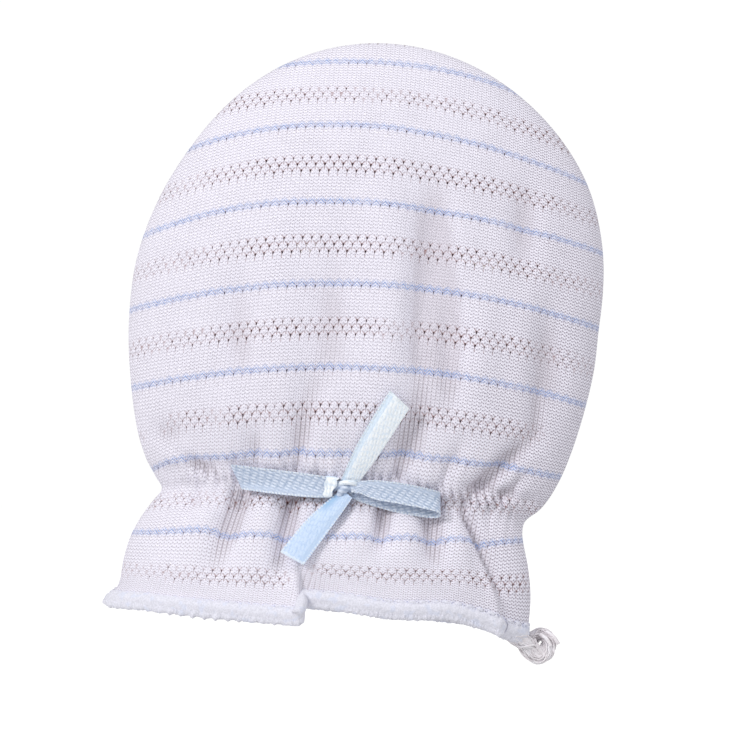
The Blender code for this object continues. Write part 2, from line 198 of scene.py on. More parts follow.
# %% Stage and light
FLOOR_HEIGHT = -200.0
FLOOR_SIZE = 6000.0
FLOOR_GRAIN = 3.0
FLOOR_TONES = ((0.80, 0.80, 0.81, 1.0), (0.84, 0.84, 0.84, 1.0))
FLOOR_GLOW = 0.7
BLACK, WHITE = (0.0, 0.0, 0.0, 1.0), (1.0, 1.0, 1.0, 1.0)
WORLD_LIGHT = 0.52
WORLD_SEEN = 1.02
LIGHTS = (          # name, place, point it faces, size, power, colour
    ("window_light", (-590.0, -580.0, 350.0), (0.0, 0.0, 30.0), 220.0, 3.7, (1.0, 0.985, 0.985)),
    ("fill_light", (500.0, -470.0, 700.0), (0.0, 0.0, 40.0), 500.0, 2.9, (0.97, 0.97, 1.0)),
    ("bounce_light", (-140.0, -560.0, -360.0), (0.0, 0.0, 10.0), 400.0, 0.55, (1.0, 0.98, 0.99)),
)

bpy.ops.object.select_all(action="DESELECT")
bpy.ops.mesh.primitive_plane_add(size=FLOOR_SIZE * MM, location=(0.0, 0.0, FLOOR_HEIGHT * MM))
floor = bpy.context.object
floor.name = "floor"
bpy.ops.object.transform_apply(location=True)
floor_finish, floor_shader, floor_start = start_finish("pale_floor", 0.9)
floor_place = floor_start.node("TexCoord", {}, output="Object")
floor_colour = floor_place.noise(FLOOR_GRAIN, dimensions="3D").mix(*FLOOR_TONES)
floor_glow = floor_start.node("LightPath", {}, output="Is Camera Ray").mix(BLACK, WHITE)
floor_shader.inputs["Emission Strength"].default_value = FLOOR_GLOW
floor_start.tree.links.new(floor_colour.socket, floor_shader.inputs["Base Color"])
floor_start.tree.links.new(floor_glow.socket, floor_shader.inputs["Emission Color"])
floor.data.materials.append(floor_finish)

world = bpy.data.worlds.new("world")
bpy.context.scene.world = world
world.use_nodes = True
sky = world.node_tree.nodes["Background"]
sky.inputs["Color"].default_value = WHITE
seen = Shade(world.node_tree).node("LightPath", {}, output="Is Camera Ray")
sky_strength = seen * (WORLD_SEEN - WORLD_LIGHT) + WORLD_LIGHT
world.node_tree.links.new(sky_strength.socket, sky.inputs["Strength"])


def soft_light(name, place, aim, size, power, colour):
    """Add a square soft light that faces a point."""
    data = bpy.data.lights.new(name, "AREA")
    data.shape = "SQUARE"
    data.size = size * MM
    data.energy = power
    data.color = colour
    light = bpy.data.objects.new(name, data)
    bpy.context.scene.collection.objects.link(light)
    towards = np.array(aim) - np.array(place)
    back = -towards / np.linalg.norm(towards)
    right = np.cross((0.0, 0.0, 1.0), back)
    right /= np.linalg.norm(right)
    up = np.cross(back, right)
    turned = Matrix([[right[i], up[i], back[i]] for i in range(3)])
    light.matrix_world = Matrix.Translation([c * MM for c in place]) @ turned.to_4x4()


for light_row in LIGHTS:
    soft_light(*light_row)
bpy.context.scene.view_settings.view_transform = "Standard"
print("stage and lights ready")

# %% [markdown]
# ## The smooth form
# The mitten's solids are two half pouches. Their tables and their few formulas are repeated
# here, so the cloth can be drawn at any place on the same form, far finer than the solids are.
# NumPy works out all points of a panel at once, which keeps the script quick.

# %% Tables of the form
FULLNESS = 0.8            # 1 gives an elliptic section, less gives a flatter front
CROWN_BASE = 36.0
CROWN_HEIGHT = 45.5
CROWN_HALF_WIDTH = 41.4
SECTION_COLUMNS = ("height", "centre", "half_width", "front", "back", "rise")
SECTION_ROWS = (
    (-18.2, -2.5, 37.1, 13.2, 12.2, 0.0),
    (-16.0, -1.6, 36.4, 12.9, 11.9, 0.3),
    (-12.0, -1.4, 36.1, 12.4, 11.4, 0.8),
    (-8.0, -1.3, 35.2, 11.6, 10.6, 1.5),
    (-4.0, -0.9, 33.6, 10.3, 9.5, 2.6),
    (-1.6, -0.3, 32.6, 9.2, 8.6, 3.3),
    (0.0, 0.4, 32.3, 8.8, 8.2, 3.5),
    (2.0, 0.9, 34.1, 9.4, 8.7, 3.4),
    (5.0, 0.9, 36.0, 10.6, 9.6, 3.2),
    (10.0, 0.9, 38.0, 11.9, 10.5, 2.8),
    (18.0, 1.0, 39.9, 13.0, 11.2, 1.8),
    (27.0, 1.1, 41.2, 13.4, 11.4, 0.7),
    (36.0, 1.2, 41.4, 13.4, 11.4, 0.0),
    (50.0, 2.3, 41.4, 13.4, 11.4, 0.0),
    (62.0, 3.0, 41.4, 13.4, 11.4, 0.0),
    (81.5, 2.3, 41.4, 13.4, 11.4, 0.0),
)
SECTIONS = dict(zip(SECTION_COLUMNS, np.array(SECTION_ROWS).T))
FRONT, BACK = -1, 1       # the sides of the mitten, which are also the signs of their depths


# %% Formulas of the form
def smooth(value):
    """Rise from 0 to 1 with a level start and end."""
    value = np.clip(value, 0.0, 1.0)
    return value * value * (3.0 - 2.0 * value)


def fade_in(value, start, room):
    """Rise from 0 at the start to 1 after the room, which is below 0 where it runs backwards."""
    return smooth((value - start) / room)


def bell(distance, width):
    """1 at no distance, falling to a third at the width, and to nearly 0 at twice that."""
    return np.exp(-(distance / width) ** 2)


def unit(rows):
    """Directions of the vectors in the rows."""
    return rows / np.linalg.norm(rows, axis=1)[:, None]


def through(at, places, values):
    """Smooth curve through a table, and a straight line before its first place."""
    last = len(places) - 1
    before = np.maximum(np.arange(last + 1) - 1, 0)
    after = np.minimum(np.arange(last + 1) + 1, last)
    slopes = (values[after] - values[before]) / (places[after] - places[before])
    low = np.clip(np.searchsorted(places, at, side="right") - 1, 0, last - 1)
    span = places[low + 1] - places[low]
    part = np.minimum((at - places[low]) / span, 1.0)
    rest = 1.0 - part
    curve = (values[low] * (1.0 + 2.0 * part) * rest ** 2
             + slopes[low] * span * part * rest ** 2
             + values[low + 1] * part ** 2 * (3.0 - 2.0 * part)
             - slopes[low + 1] * span * part ** 2 * rest)
    return np.where(part <= 0.0, values[low] + slopes[low] * part * span, curve)


def section(height, name):
    """Value of a section of the pouch at any height."""
    return through(height, SECTIONS["height"], SECTIONS[name])


def seam_height(x, z):
    """Height at the side seams of the section that passes through a point."""
    height = z
    for _ in range(4):
        across = (x - section(height, "centre")) / section(height, "half_width")
        height = z - section(height, "rise") * (1.0 - np.minimum(1.0, across * across))
    return height


def plan_reach(x, z):
    """0 on the middle line of the pouch and 1 on its outline, squared."""
    height = seam_height(x, z)
    below = ((x - section(height, "centre")) / section(height, "half_width")) ** 2
    crown = (((x - section(z, "centre")) / CROWN_HALF_WIDTH) ** 2
             + ((z - CROWN_BASE) / CROWN_HEIGHT) ** 2)
    return np.where(height <= CROWN_BASE, below, crown)


def side_depth(x, z, side):
    """Depth that the section through a point has in its middle."""
    return section(seam_height(x, z), "front" if side == FRONT else "back")


def form_depth(x, z, side):
    """Depth of the smooth pouch at a point, counted from the seams."""
    rest = np.clip(1.0 - plan_reach(x, z), 0.0, 1.0)
    return side_depth(x, z, side) * rest ** (0.5 * FULLNESS)


def form_value(x, y, z, side):
    """Below 0 inside the smooth pouch and above 0 outside it, for a depth y."""
    return (np.abs(y) / side_depth(x, z, side)) ** (2.0 / FULLNESS) + plan_reach(x, z) - 1.0


def form_normal(x, y, z, side):
    """Outward directions of the smooth pouch."""
    step = 0.02
    slope = np.stack([
        form_value(x + step, y, z, side) - form_value(x - step, y, z, side),
        np.where(y > step, form_value(x, y + step, z, side)
                 - form_value(x, y - step, z, side), 0.0),
        form_value(x, y, z + step, side) - form_value(x, y, z - step, side)], axis=1)
    slope[:, 1] *= side
    return unit(slope)


print("depth at the middle:", form_depth(np.array([0.0]), np.array([30.0]), FRONT).round(2))

# %% [markdown]
# ## Creases and gathers
# A gathered cloth is never even: long folds run out of the elastic where the filled mitten
# pulls, and between them lie dozens of small puckers. The long folds and the broad soft forms
# are placed one by one, and the small puckers come from waves whose place and depth wander.
# Simulation would give folds of its own choosing, so the cloth is shaped from given folds instead.

# %% Folds, listed one by one
# Each fold: its place across at the elastic and at its end, how far it reaches up the mitten
# (below 0 down the ruffle), its width and its depth
FRONT_FOLDS = (
    (-29.0, -31.0, 5.0, 1.5, 0.5),
    (-20.8, -32.4, 8.5, 1.9, 1.2),
    (-18.4, -18.8, 7.0, 1.2, 0.5),
    (-15.4, -16.2, 13.0, 2.2, 1.1),
    (-12.0, -12.4, 5.0, 1.2, 0.5),
    (-8.5, -6.9, 24.0, 2.2, 1.3),
    (-4.5, -4.8, 6.0, 1.2, 0.6),
    (-0.6, -0.4, 9.0, 1.3, 0.7),
    (3.2, 3.4, 5.0, 1.2, 0.5),
    (5.8, 5.9, 6.0, 1.2, 0.5),
    (8.9, 12.6, 21.0, 2.7, 1.8),
    (15.9, 21.4, 15.0, 1.4, 1.0),
    (21.2, 35.4, 18.0, 2.1, 2.2),
    (26.2, 34.4, 11.0, 1.4, 1.1),
    (31.4, 36.0, 8.0, 1.3, 0.7),
    (-29.5, -32.0, -7.0, 1.6, 0.4),
    (-24.4, -27.4, -9.0, 1.5, 0.7),
    (-16.7, -22.6, -20.0, 2.5, 1.8),
    (-8.3, -10.4, -21.0, 1.9, 2.1),
    (0.9, -2.0, -9.0, 1.7, 1.0),
    (7.9, 6.7, -14.0, 1.6, 2.0),
    (15.6, 17.2, -15.0, 2.2, 2.0),
    (20.9, 29.3, -18.0, 2.1, 1.2),
    (25.3, 29.0, -7.0, 1.4, 0.6),
)
BACK_FOLDS = (
    (-28.5, -30.5, 6.0, 1.5, 0.5),
    (-23.5, -28.0, 13.0, 1.9, 0.9),
    (-18.6, -20.2, 7.0, 1.4, 0.5),
    (-13.8, -15.6, 18.0, 1.9, 1.0),
    (-9.6, -9.2, 6.0, 1.3, 0.5),
    (-5.2, -6.0, 11.0, 1.6, 0.7),
    (-1.0, -1.2, 6.0, 1.3, 0.5),
    (3.4, 4.2, 21.0, 2.0, 1.1),
    (7.6, 7.2, 6.0, 1.3, 0.4),
    (12.2, 14.6, 13.0, 1.8, 0.8),
    (16.8, 18.2, 7.0, 1.4, 0.5),
    (21.4, 26.6, 16.0, 2.0, 1.0),
    (26.6, 29.4, 7.0, 1.5, 0.6),
    (-27.0, -30.6, -8.0, 1.6, 0.5),
    (-20.4, -24.4, -14.0, 2.1, 1.0),
    (-11.6, -13.0, -11.0, 1.8, 0.8),
    (-3.2, -4.6, -15.0, 2.0, 1.0),
    (5.6, 6.4, -10.0, 1.8, 0.8),
    (13.4, 15.8, -14.0, 2.0, 1.0),
    (20.6, 24.2, -10.0, 1.7, 0.7),
    (26.2, 29.4, -13.0, 1.7, 0.8),
)
FOLD_BEFORE = 0.12        # share of its reach that a fold starts before the elastic
FOLD_CALM = 0.25          # share of the half width, next to a seam, where folds fade out

# Broad forms: place across and up, half sizes, and how far they stand out
FORM_LEAN = -0.087
SOFT_FORMS = {
    FRONT: (
        (5.4, 37.0, 3.7, 17.0, 1.1),
        (11.8, 45.0, 3.6, 12.0, -2.0),
        (11.2, 28.0, 2.4, 11.0, -1.5),
        (16.2, 29.0, 2.4, 11.0, -1.7),
        (27.3, 50.0, 2.8, 9.0, -1.4),
        (22.4, 28.0, 3.0, 10.0, 0.8),
        (-20.0, 46.0, 11.0, 18.0, 0.5),
        (-19.6, 28.0, 3.2, 12.0, -1.2),
        (-12.8, 29.0, 3.0, 12.0, 0.8),
        (-4.0, 30.0, 3.8, 15.0, -1.1),
        (28.5, 36.0, 3.6, 15.0, 0.6),
        (33.8, 27.0, 3.2, 9.0, -1.7),
        (32.4, 18.0, 1.6, 5.0, -0.9),
        (-31.8, 9.8, 4.2, 2.2, -1.2),
        (-31.0, 5.6, 3.4, 2.4, 0.6),
        (-21.0, 14.0, 3.5, 8.0, 0.6),
        (28.0, -1.0, 3.0, 2.6, 0.8),
        (-2.0, 14.0, 2.6, 8.0, 0.5),
        (-13.0, -3.6, 2.2, 4.0, 0.8),
        (-23.0, -4.4, 2.6, 5.0, 0.6),
        (3.4, -4.5, 2.4, 5.0, 0.7),
        (11.8, -5.0, 2.4, 5.0, 0.8),
        (21.4, -4.0, 2.2, 4.5, 0.6),
        (2.0, 64.0, 17.0, 8.0, 0.4),
    ),
    BACK: (
        (-9.0, 34.0, 5.0, 15.0, 0.7),
        (2.0, 34.0, 4.5, 17.0, -0.8),
        (20.0, 44.0, 12.0, 16.0, 0.6),
        (-26.0, 28.0, 7.0, 14.0, -0.5),
        (30.0, 16.0, 4.5, 10.0, -0.6),
        (0.0, 62.0, 16.0, 9.0, 0.4),
    ),
}


def fold_depth(fold, x, above):
    """How far one fold sinks the cloth, at heights above the elastic."""
    start, end, reach, width, depth = fold
    along = above / reach
    middle = start + (end - start) * along
    inside = (along > -FOLD_BEFORE) & (along < 1.0)
    share = smooth(0.5 * (along + FOLD_BEFORE) / FOLD_BEFORE) * smooth(1.35 * (1.0 - along))
    if reach > 0.0:
        share = share * (0.35 + 0.65 * smooth((above - 0.9) / 1.8))
    wide = width * (0.7 + 0.6 * along)
    return np.where(inside, depth * bell(x - middle, wide) * share, 0.0)


# %% Small puckers
PUCKER_SPACING = 2.4
PUCKER_DEPTH = 0.32
TUFT_SPACING = 1.6
TUFT_HEIGHT = 0.5
CREASE_DEPTH = 0.5
BULGE = 0.7
WAVER = 0.10
# Heights above the elastic of the small tufts, of the creases at its ends and of the bulge
TUFT_LINE = 1.4
CREASE_LINE = 3.0
BULGE_LINE = 2.4
ELASTIC_MIDDLE = 0.9
ELASTIC_CALM = (17.0, 6.0)     # half width of its calm middle part, and room to the creases


def puckers(u, above, side):
    """Small gathers that run out of the elastic, uneven in place and in depth."""
    seed = 1.7 if side == FRONT else 4.1
    wander = 0.36 * np.sin(0.21 * u + seed) + 0.24 * np.sin(0.53 * u + 2.0 * seed)
    lean = 0.035 * above * np.sin(0.16 * u + 3.0 * seed) + 0.25 * np.sin(0.9 * seed + 0.1 * u)
    wave = (0.5 + 0.5 * np.cos(2.0 * math.pi * (u / PUCKER_SPACING + wander + lean))) ** 2
    share = 0.6 + 0.4 * np.sin(0.37 * u + 3.0 * seed) * np.sin(0.11 * u + seed)
    reach = np.where(above > 0.0, 5.2, 3.6) * (0.70 + 0.6 * np.sin(0.8 * u + seed) ** 2)
    gathers = -2.0 * PUCKER_DEPTH * share * wave * bell(above, reach)
    gathers = gathers * (1.0 - 0.6 * bell(above - TUFT_LINE, 1.4))
    tuft_turn = (u + 0.45 * above) / TUFT_SPACING + 0.5 * wander
    tufts = np.cos(2.0 * math.pi * tuft_turn) * bell(above - TUFT_LINE, 1.2)
    return gathers + TUFT_HEIGHT * tufts


def gathered_rise(side, x, z, u, above):
    """How far folds, puckers and broad forms raise the cloth."""
    out = puckers(u, above, side)
    for fold in (FRONT_FOLDS if side == FRONT else BACK_FOLDS):
        out -= fold_depth(fold, x, above)
    for place_x, place_z, half_x, half_z, rise in SOFT_FORMS[side]:
        away = x - place_x - FORM_LEAN * (z - place_z)
        out += rise * bell(away, half_x) * bell(z - place_z, half_z)
    return out + WAVER * np.sin(0.62 * x + 0.35 * z + side) * np.sin(0.48 * z - 0.21 * x)


def wrist_rise(x, above, calm):
    """A bulge above the middle of the elastic, and a crease above each of its ends."""
    aside = fade_in(np.abs(x - ELASTIC_MIDDLE), *ELASTIC_CALM)
    crease = CREASE_DEPTH * aside * bell(above - CREASE_LINE, 0.9) * np.sqrt(calm)
    return BULGE * (1.0 - aside) * bell(above - BULGE_LINE, 2.8) - crease


# %% [markdown]
# The ruffle hangs free, so its cloth lies over itself in two places: a pleat left of its middle
# and one layer over the next at its right. In both the outer layer stands out, the inner one is
# set back, and the cloth is shifted a little along itself, so that it overlaps its neighbour.

# %% Pleat and layers of the ruffle
SEAM_GROOVE = 0.3
HEM_HEIGHT = -18.2
PLEAT_TOP = -6.0
PLEAT_PLACE = -5.2
PLEAT_SLANT = -0.16
PLEAT_CRISP = 1.5
PLEAT_REACH = 7.0
PLEAT_LIFT = 2.2
PLEAT_STEP = 1.9
PLEAT_OVERLAP = 1.1
PLEAT_RIDGE = 0.6
LEFT_SAG = 0.75
RIGHT_SAG = 0.85
# Places across, and the room in which something fades in from there
LIFT_ENDS = (18.0, 13.0)
LEFT_SAG_STARTS = (-39.0, 9.0)
RIGHT_SAG_MIDDLE = (11.0, 8.0)
CORNER_SAGS = ((-31.0, -8.0, 1.1), (26.0, 9.0, 1.8))     # with the sag of the hem's corners
CUFF_SWELL = (-25.0, -4.5, 6.0, 4.0, 0.8)     # across and up, half sizes, and lift
VALLEY_SAG = 0.3          # share of its depth by which a valley of the ruffle hangs lower
LAYER_TOP = (20.2, 1.7)
LAYER_START = (2.2, -3.2)
LAYER_STEP = 0.8
LAYER_RIDGE = 0.35
LAYER_OVERLAP = 0.35


def pleat_forms(x, z, low):
    """Rise, lift and shift of the cloth by the pleat."""
    off = x - PLEAT_PLACE - PLEAT_SLANT * (z - HEM_HEIGHT)     # to the right of the pleat's edge
    right = smooth(off / PLEAT_CRISP + 0.5)
    rise = PLEAT_STEP * bell(off, PLEAT_REACH) * (0.5 - right)
    rise += PLEAT_RIDGE * bell(off + 1.0, 1.3)
    lift = PLEAT_LIFT * right * (1.0 - fade_in(x, *LIFT_ENDS))
    lift -= LEFT_SAG * (1.0 - right) * fade_in(x, *LEFT_SAG_STARTS)
    lift += RIGHT_SAG * right * (0.5 - bell(x - RIGHT_SAG_MIDDLE[0], RIGHT_SAG_MIDDLE[1]))
    return low * rise, low * lift, -PLEAT_OVERLAP * low * off * bell(off, 1.1)


def layer_forms(x, z, low, calm):
    """Rise, lift and shift of the cloth where one layer lies over the next."""
    down = np.maximum(0.0, LAYER_TOP[1] - z)
    edge = x - (LAYER_TOP[0] + 0.754 * down - 0.0146 * down * down)     # to the right of its line
    begun = fade_in(z, *LAYER_START)
    turned = smooth(edge / 1.3 + 0.5) * begun
    past = np.maximum(edge, 0.0)
    rise = LAYER_RIDGE * begun * bell(edge + 1.0, 1.0)
    rise -= LAYER_STEP * turned * (0.35 + 0.65 * np.exp(-past / 6.0)) * calm
    lift = -turned * np.exp(-past / 5.0) * (1.0 - low)
    return rise, lift, -LAYER_OVERLAP * begun * edge * bell(edge, 0.9)


def settle(side, x, z, u, sunk=0.0):
    """Places of the cloth's outer face in millimetres, outward directions, and the folds' rise."""
    depth = form_depth(x, z, side)
    normal = form_normal(x, depth, z, side)
    reach = np.clip(plan_reach(x, z), 0.0, 1.0)
    calm = np.minimum(1.0, (1.0 - np.sqrt(reach)) / FOLD_CALM)      # 0 on the seams
    above = z - section(np.array(0.0), "rise") * (1.0 - reach)
    low = fade_in(z, PLEAT_TOP, HEM_HEIGHT - PLEAT_TOP)             # 1 at the hem
    out = gathered_rise(side, x, z, u, above) * calm + wrist_rise(x, above, calm)
    out -= SEAM_GROOVE * bell(1.0 - reach, 0.02)
    lift = VALLEY_SAG * np.minimum(out, 0.0) * smooth(-above / 4.0)
    for start, room, sag in CORNER_SAGS:
        lift -= low * sag * fade_in(x, start, room)
    shift = np.zeros_like(x)
    if side == FRONT:
        place_x, place_z, half_x, half_z, swell = CUFF_SWELL
        lift += swell * bell(x - place_x, half_x) * bell(z - place_z, half_z)
        for forms in (pleat_forms(x, z, low), layer_forms(x, z, low, calm)):
            out, lift, shift = out + forms[0], lift + forms[1], shift + forms[2]
    place = np.stack([x + shift, side * (depth + 0.02), z + lift], axis=1)
    return place + normal * (out - sunk)[:, None], normal, out


print("folds:", len(FRONT_FOLDS), "in front and", len(BACK_FOLDS), "behind")

# %% [markdown]
# ## The knit's lattice
# A knitted cloth is a grid: wales run up it and courses run across it. Each repeat of this
# pattern is 24 courses, with one blue course and one band of eyelets, small holes made by
# passing a loop to its neighbour. A painted hole stays flat from near by, so the panel's mesh
# follows the knit itself, one row for each course and two columns for each wale, and an eyelet
# is a face left out. The table says at which height each length of cloth lies on the middle
# line, how its course slopes, bends and twists from there to the sides, for each 10 mm across,
# how much the cloth is gathered across, and how far its left end drops to the corner of the
# wrist.

# %% Where each course lies
HALF_WALE = 0.393
COURSE = 14.5 / 24
COURSES = 24
LEVEL_COLUMNS = ("cloth", "height", "slope", "bend", "twist", "middle", "gather", "corner")
LEVEL_ROWS = (
    (-0.61, -18.15, 0.0, 0.0, 0.0, -1.2, 0.98, 0.0),
    (0.75, -17.05, 0.08, 0.0, 0.0, -1.1, 0.98, 0.0),
    (7.55, -12.05, 0.50, 0.0, 0.0, -0.8, 0.99, 0.0),
    (15.25, -4.95, 0.62, -0.03, 0.004, -0.3, 1.0, 0.0),
    (22.05, 1.4, 0.68, -0.13, 0.0, 0.3, 1.03, -0.4),
    (25.6, 4.9, 0.66, -0.19, -0.002, 0.6, 1.05, -1.2),
    (29.75, 9.37, 0.61, -0.24, -0.004, 0.9, 1.02, -1.6),
    (44.25, 24.21, 0.55, -0.325, -0.003, 1.2, 1.0, 0.0),
    (58.75, 38.51, 0.42, -0.354, 0.002, 1.6, 1.0, 0.0),
    (73.25, 52.38, 0.03, -0.413, 0.026, 2.1, 1.0, 0.0),
    (87.75, 65.50, -0.20, -0.50, 0.022, 2.3, 1.0, 0.0),
    (102.25, 77.08, 0.03, -0.50, -0.04, 2.3, 1.0, 0.0),
)
CORNER_START = -29.5
CORNER_WIDE = 5.5
CROWN_TOP = (2.3, 81.5)
CROWN_STEPS = 80
EDGE_REACH = 60.0
EDGE_HALVINGS = 36
COURSE_POINTS = 241


def lengths_along(path):
    """Length from the start of a path to each of its points."""
    return np.append(0.0, np.cumsum(np.linalg.norm(np.diff(path, axis=0), axis=1)))


def cloth_levels(side):
    """The level table in fine steps. Near the top the cloth's length follows the form's."""
    rows = dict(zip(LEVEL_COLUMNS, np.array(LEVEL_ROWS).T))
    cloth = np.arange(rows["cloth"][0], rows["cloth"][-1], 0.2)
    fine = {name: through(cloth, rows["cloth"], rows[name]) for name in LEVEL_COLUMNS[1:]}
    start = rows["height"][-1]
    rise = np.sin(np.linspace(0.0, 0.5 * math.pi, CROWN_STEPS))
    heights = start + (CROWN_TOP[1] - start) * rise
    depths = form_depth(np.full(CROWN_STEPS, CROWN_TOP[0]), heights, side)
    run = lengths_along(np.stack([heights, depths], axis=1))
    fine["cloth"] = np.append(cloth, rows["cloth"][-1] + run)
    fine["height"] = np.append(fine["height"], heights)
    for name in LEVEL_COLUMNS[2:]:
        fine[name] = np.append(fine[name], np.full(CROWN_STEPS, rows[name][-1]))
    return fine


LEVELS = {side: cloth_levels(side) for side in (FRONT, BACK)}


def courses(side, v):
    """Fine points along courses at cloth lengths v: arrays of turn, across, height and length."""
    level = {name: np.interp(v, LEVELS[side]["cloth"], LEVELS[side][name])[:, None]
             for name in LEVEL_COLUMNS[1:]}

    def height_at(x):
        away = (x - level["middle"]) / 10.0
        return (level["height"] + level["slope"] * away + level["bend"] * away ** 2
                + level["twist"] * away ** 3
                + level["corner"] * fade_in(x, CORNER_START, -CORNER_WIDE))

    ends = []
    for way in (-1.0, 1.0):
        near, far = np.zeros((len(v), 1)), np.full((len(v), 1), EDGE_REACH)
        for _ in range(EDGE_HALVINGS):
            half = 0.5 * (near + far)
            place = level["middle"] + way * half
            outside = plan_reach(place, height_at(place)) > 1.0
            near, far = np.where(outside, near, half), np.where(outside, half, far)
        ends.append(level["middle"] + way * near)
    turn = np.linspace(-1.0, 1.0, COURSE_POINTS)[None, :]
    x = 0.5 * (ends[0] + ends[1]) + 0.5 * (ends[1] - ends[0]) * np.sin(0.5 * math.pi * turn)
    z = height_at(x)
    y = form_depth(x, z, side)
    y[:, 0] = y[:, -1] = 0.0
    run = np.sqrt(np.diff(x) ** 2 + np.diff(y) ** 2 + np.diff(z) ** 2)
    length = np.append(np.zeros((len(v), 1)), np.cumsum(run, axis=1), axis=1)
    for row in range(len(v)):
        length[row] -= np.interp(level["middle"][row, 0], x[row], length[row])
    return np.broadcast_to(turn, x.shape), x, z, length * level["gather"]


def on_cloth(side, u, v):
    """Places across and up of points given by their lengths across and up the cloth."""
    kinds, which = np.unique(v, return_inverse=True)
    turn, x, z, length = courses(side, kinds)
    found_x, found_z = np.empty_like(u), np.empty_like(u)
    for row in range(len(kinds)):
        mine = which == row
        part = np.interp(u[mine], length[row], turn[row])
        swing = np.sin(0.5 * math.pi * part)
        found_x[mine] = 0.5 * (x[row, 0] + x[row, -1]) + 0.5 * (x[row, -1] - x[row, 0]) * swing
        found_z[mine] = np.interp(found_x[mine], x[row], z[row])
    return found_x, found_z


print("cloth from hem to top seam:", round(float(LEVELS[FRONT]["cloth"][-1]), 1), "mm")

# %% [markdown]
# Three courses of each band have eyelets, two wales apart and the middle ones between the
# others. The blue course has one small eyelet between its peaks. Each is wider at its top than
# at its foot, where the passed loop draws the knit together, and some are closed up more than
# others, above all where the filled mitten stretches the cloth.

# %% Eyelets
EYELET_ROWS = {10: 0, 12: 2, 14: 0, 0: 0}     # course in the repeat: first column of four
EYELET_COLUMNS = 4
EYELET_TOP = -0.01        # share of its size by which each side of its top moves outwards
EYELET_FOOT = 0.10        # and each side of its foot inwards
EYELET_LOW = 0.10         # how far its foot moves up
EYELET_HIGH = 0.07        # how far its top moves down
EYELET_SUNK = 0.05        # how far its foot moves into the cloth
EYELET_SMALLEST = 0.32    # a smaller one is closed
EYELET_NEAR = range(-1, 3)     # courses and columns next to an eyelet, counted from its foot
STRIPE_EYELET = 0.72      # share of the others' size that the blue course's eyelets have
SEAM_FREE = 0.35          # least room between the seam and the next point, in columns
LEFT_SEAM, RIGHT_SEAM, PAST_END = -9999, 9999, 99999     # stand in for columns at the seams
# Tight places: across and up, half sizes, and the share of its size that an eyelet loses there
TIGHT_PLACES = {
    FRONT: ((7.8, 34.0, 3.4, 14.0, 0.55), (-38.0, 40.0, 13.0, 34.0, 0.45),
            (44.0, 36.0, 14.0, 30.0, 0.45), (-6.2, -14.0, 2.6, 6.0, 0.9),
            (-36.0, -14.0, 11.0, 7.0, 0.5), (31.0, 0.0, 8.0, 3.0, 0.4),
            (-26.0, 0.0, 9.0, 3.0, 0.45), (2.0, 74.0, 30.0, 5.0, 0.4),
            (38.5, 14.0, 6.5, 6.0, 0.9), (-35.5, 11.5, 5.5, 4.0, 0.9),
            (-22.3, 13.5, 1.8, 4.0, 0.6), (-13.2, 15.0, 1.5, 4.0, 0.45)),
    BACK: ((-8.5, 34.0, 3.2, 14.0, 0.6), (38.0, 40.0, 13.0, 34.0, 0.4),
           (-38.0, 40.0, 13.0, 34.0, 0.4), (2.0, 74.0, 30.0, 5.0, 0.4)),
}


def eyelet_size(side, x, z, chance):
    """Share of its full size that an eyelet has at a place."""
    size = 0.46 + 0.48 * chance
    for place_x, place_z, half_x, half_z, loss in TIGHT_PLACES[side]:
        size -= loss * bell(x - place_x, half_x) * bell(z - place_z, half_z)
    return size


def lattice(side):
    """Rows of a panel: the number of the course, its columns and the lengths across of these."""
    top = LEVELS[side]["cloth"][-1]
    numbers = np.arange(-1, int((top - SEAM_FREE) / COURSE) + 1)
    rows = []
    for number, length in zip(numbers, courses(side, numbers * COURSE)[3]):
        first = math.ceil(length[0] / HALF_WALE + SEAM_FREE)
        last = math.floor(length[-1] / HALF_WALE - SEAM_FREE)
        inner = np.arange(first, last + 1)
        rows.append((int(number), [LEFT_SEAM, *inner.tolist(), RIGHT_SEAM],
                     [length[0], *(inner * HALF_WALE).tolist(), length[-1]]))
    return rows


def open_eyelets(side, rows, index, x, z):
    """The lattice's faces that are eyelets, and what these do to the points round them."""
    rng = np.random.default_rng(11 if side == FRONT else 23)
    holes = set()
    change = {name: np.zeros_like(x) for name in ("shift", "raise", "sink", "open")}
    for number, columns, _ in rows[:-3]:          # the last three rows lie at the top seam
        first = EYELET_ROWS.get(number % COURSES)
        if first is None or number < 1:
            continue
        for column in range(columns[1] + 2, columns[-2] - 2):
            corners = [(number, column), (number, column + 1),
                       (number + 1, column), (number + 1, column + 1)]
            outside = any(corner not in index for corner in corners)
            if column % EYELET_COLUMNS != first or outside:
                continue
            foot, foot_end, top, top_end = (index[corner] for corner in corners)
            size = eyelet_size(side, x[foot], z[foot], rng.random())
            size *= STRIPE_EYELET if number % COURSES == 0 else 1.0
            around = [(number + row, column + line) for row in EYELET_NEAR for line in EYELET_NEAR]
            for point in (index[place] for place in around if place in index):
                change["open"][point] = max(change["open"][point], size, 0.0)
            if size < EYELET_SMALLEST:
                continue
            holes.add((number, column))
            grow = 0.5 * HALF_WALE * (size - 1.0)
            change["shift"][foot] -= grow - EYELET_FOOT * size
            change["shift"][foot_end] += grow - EYELET_FOOT * size
            change["shift"][top] -= grow + EYELET_TOP * size
            change["shift"][top_end] += grow + EYELET_TOP * size
            change["raise"][[foot, foot_end]] += EYELET_LOW
            change["raise"][[top, top_end]] -= EYELET_HIGH
            change["sink"][[foot, foot_end]] += EYELET_SUNK
    return holes, change


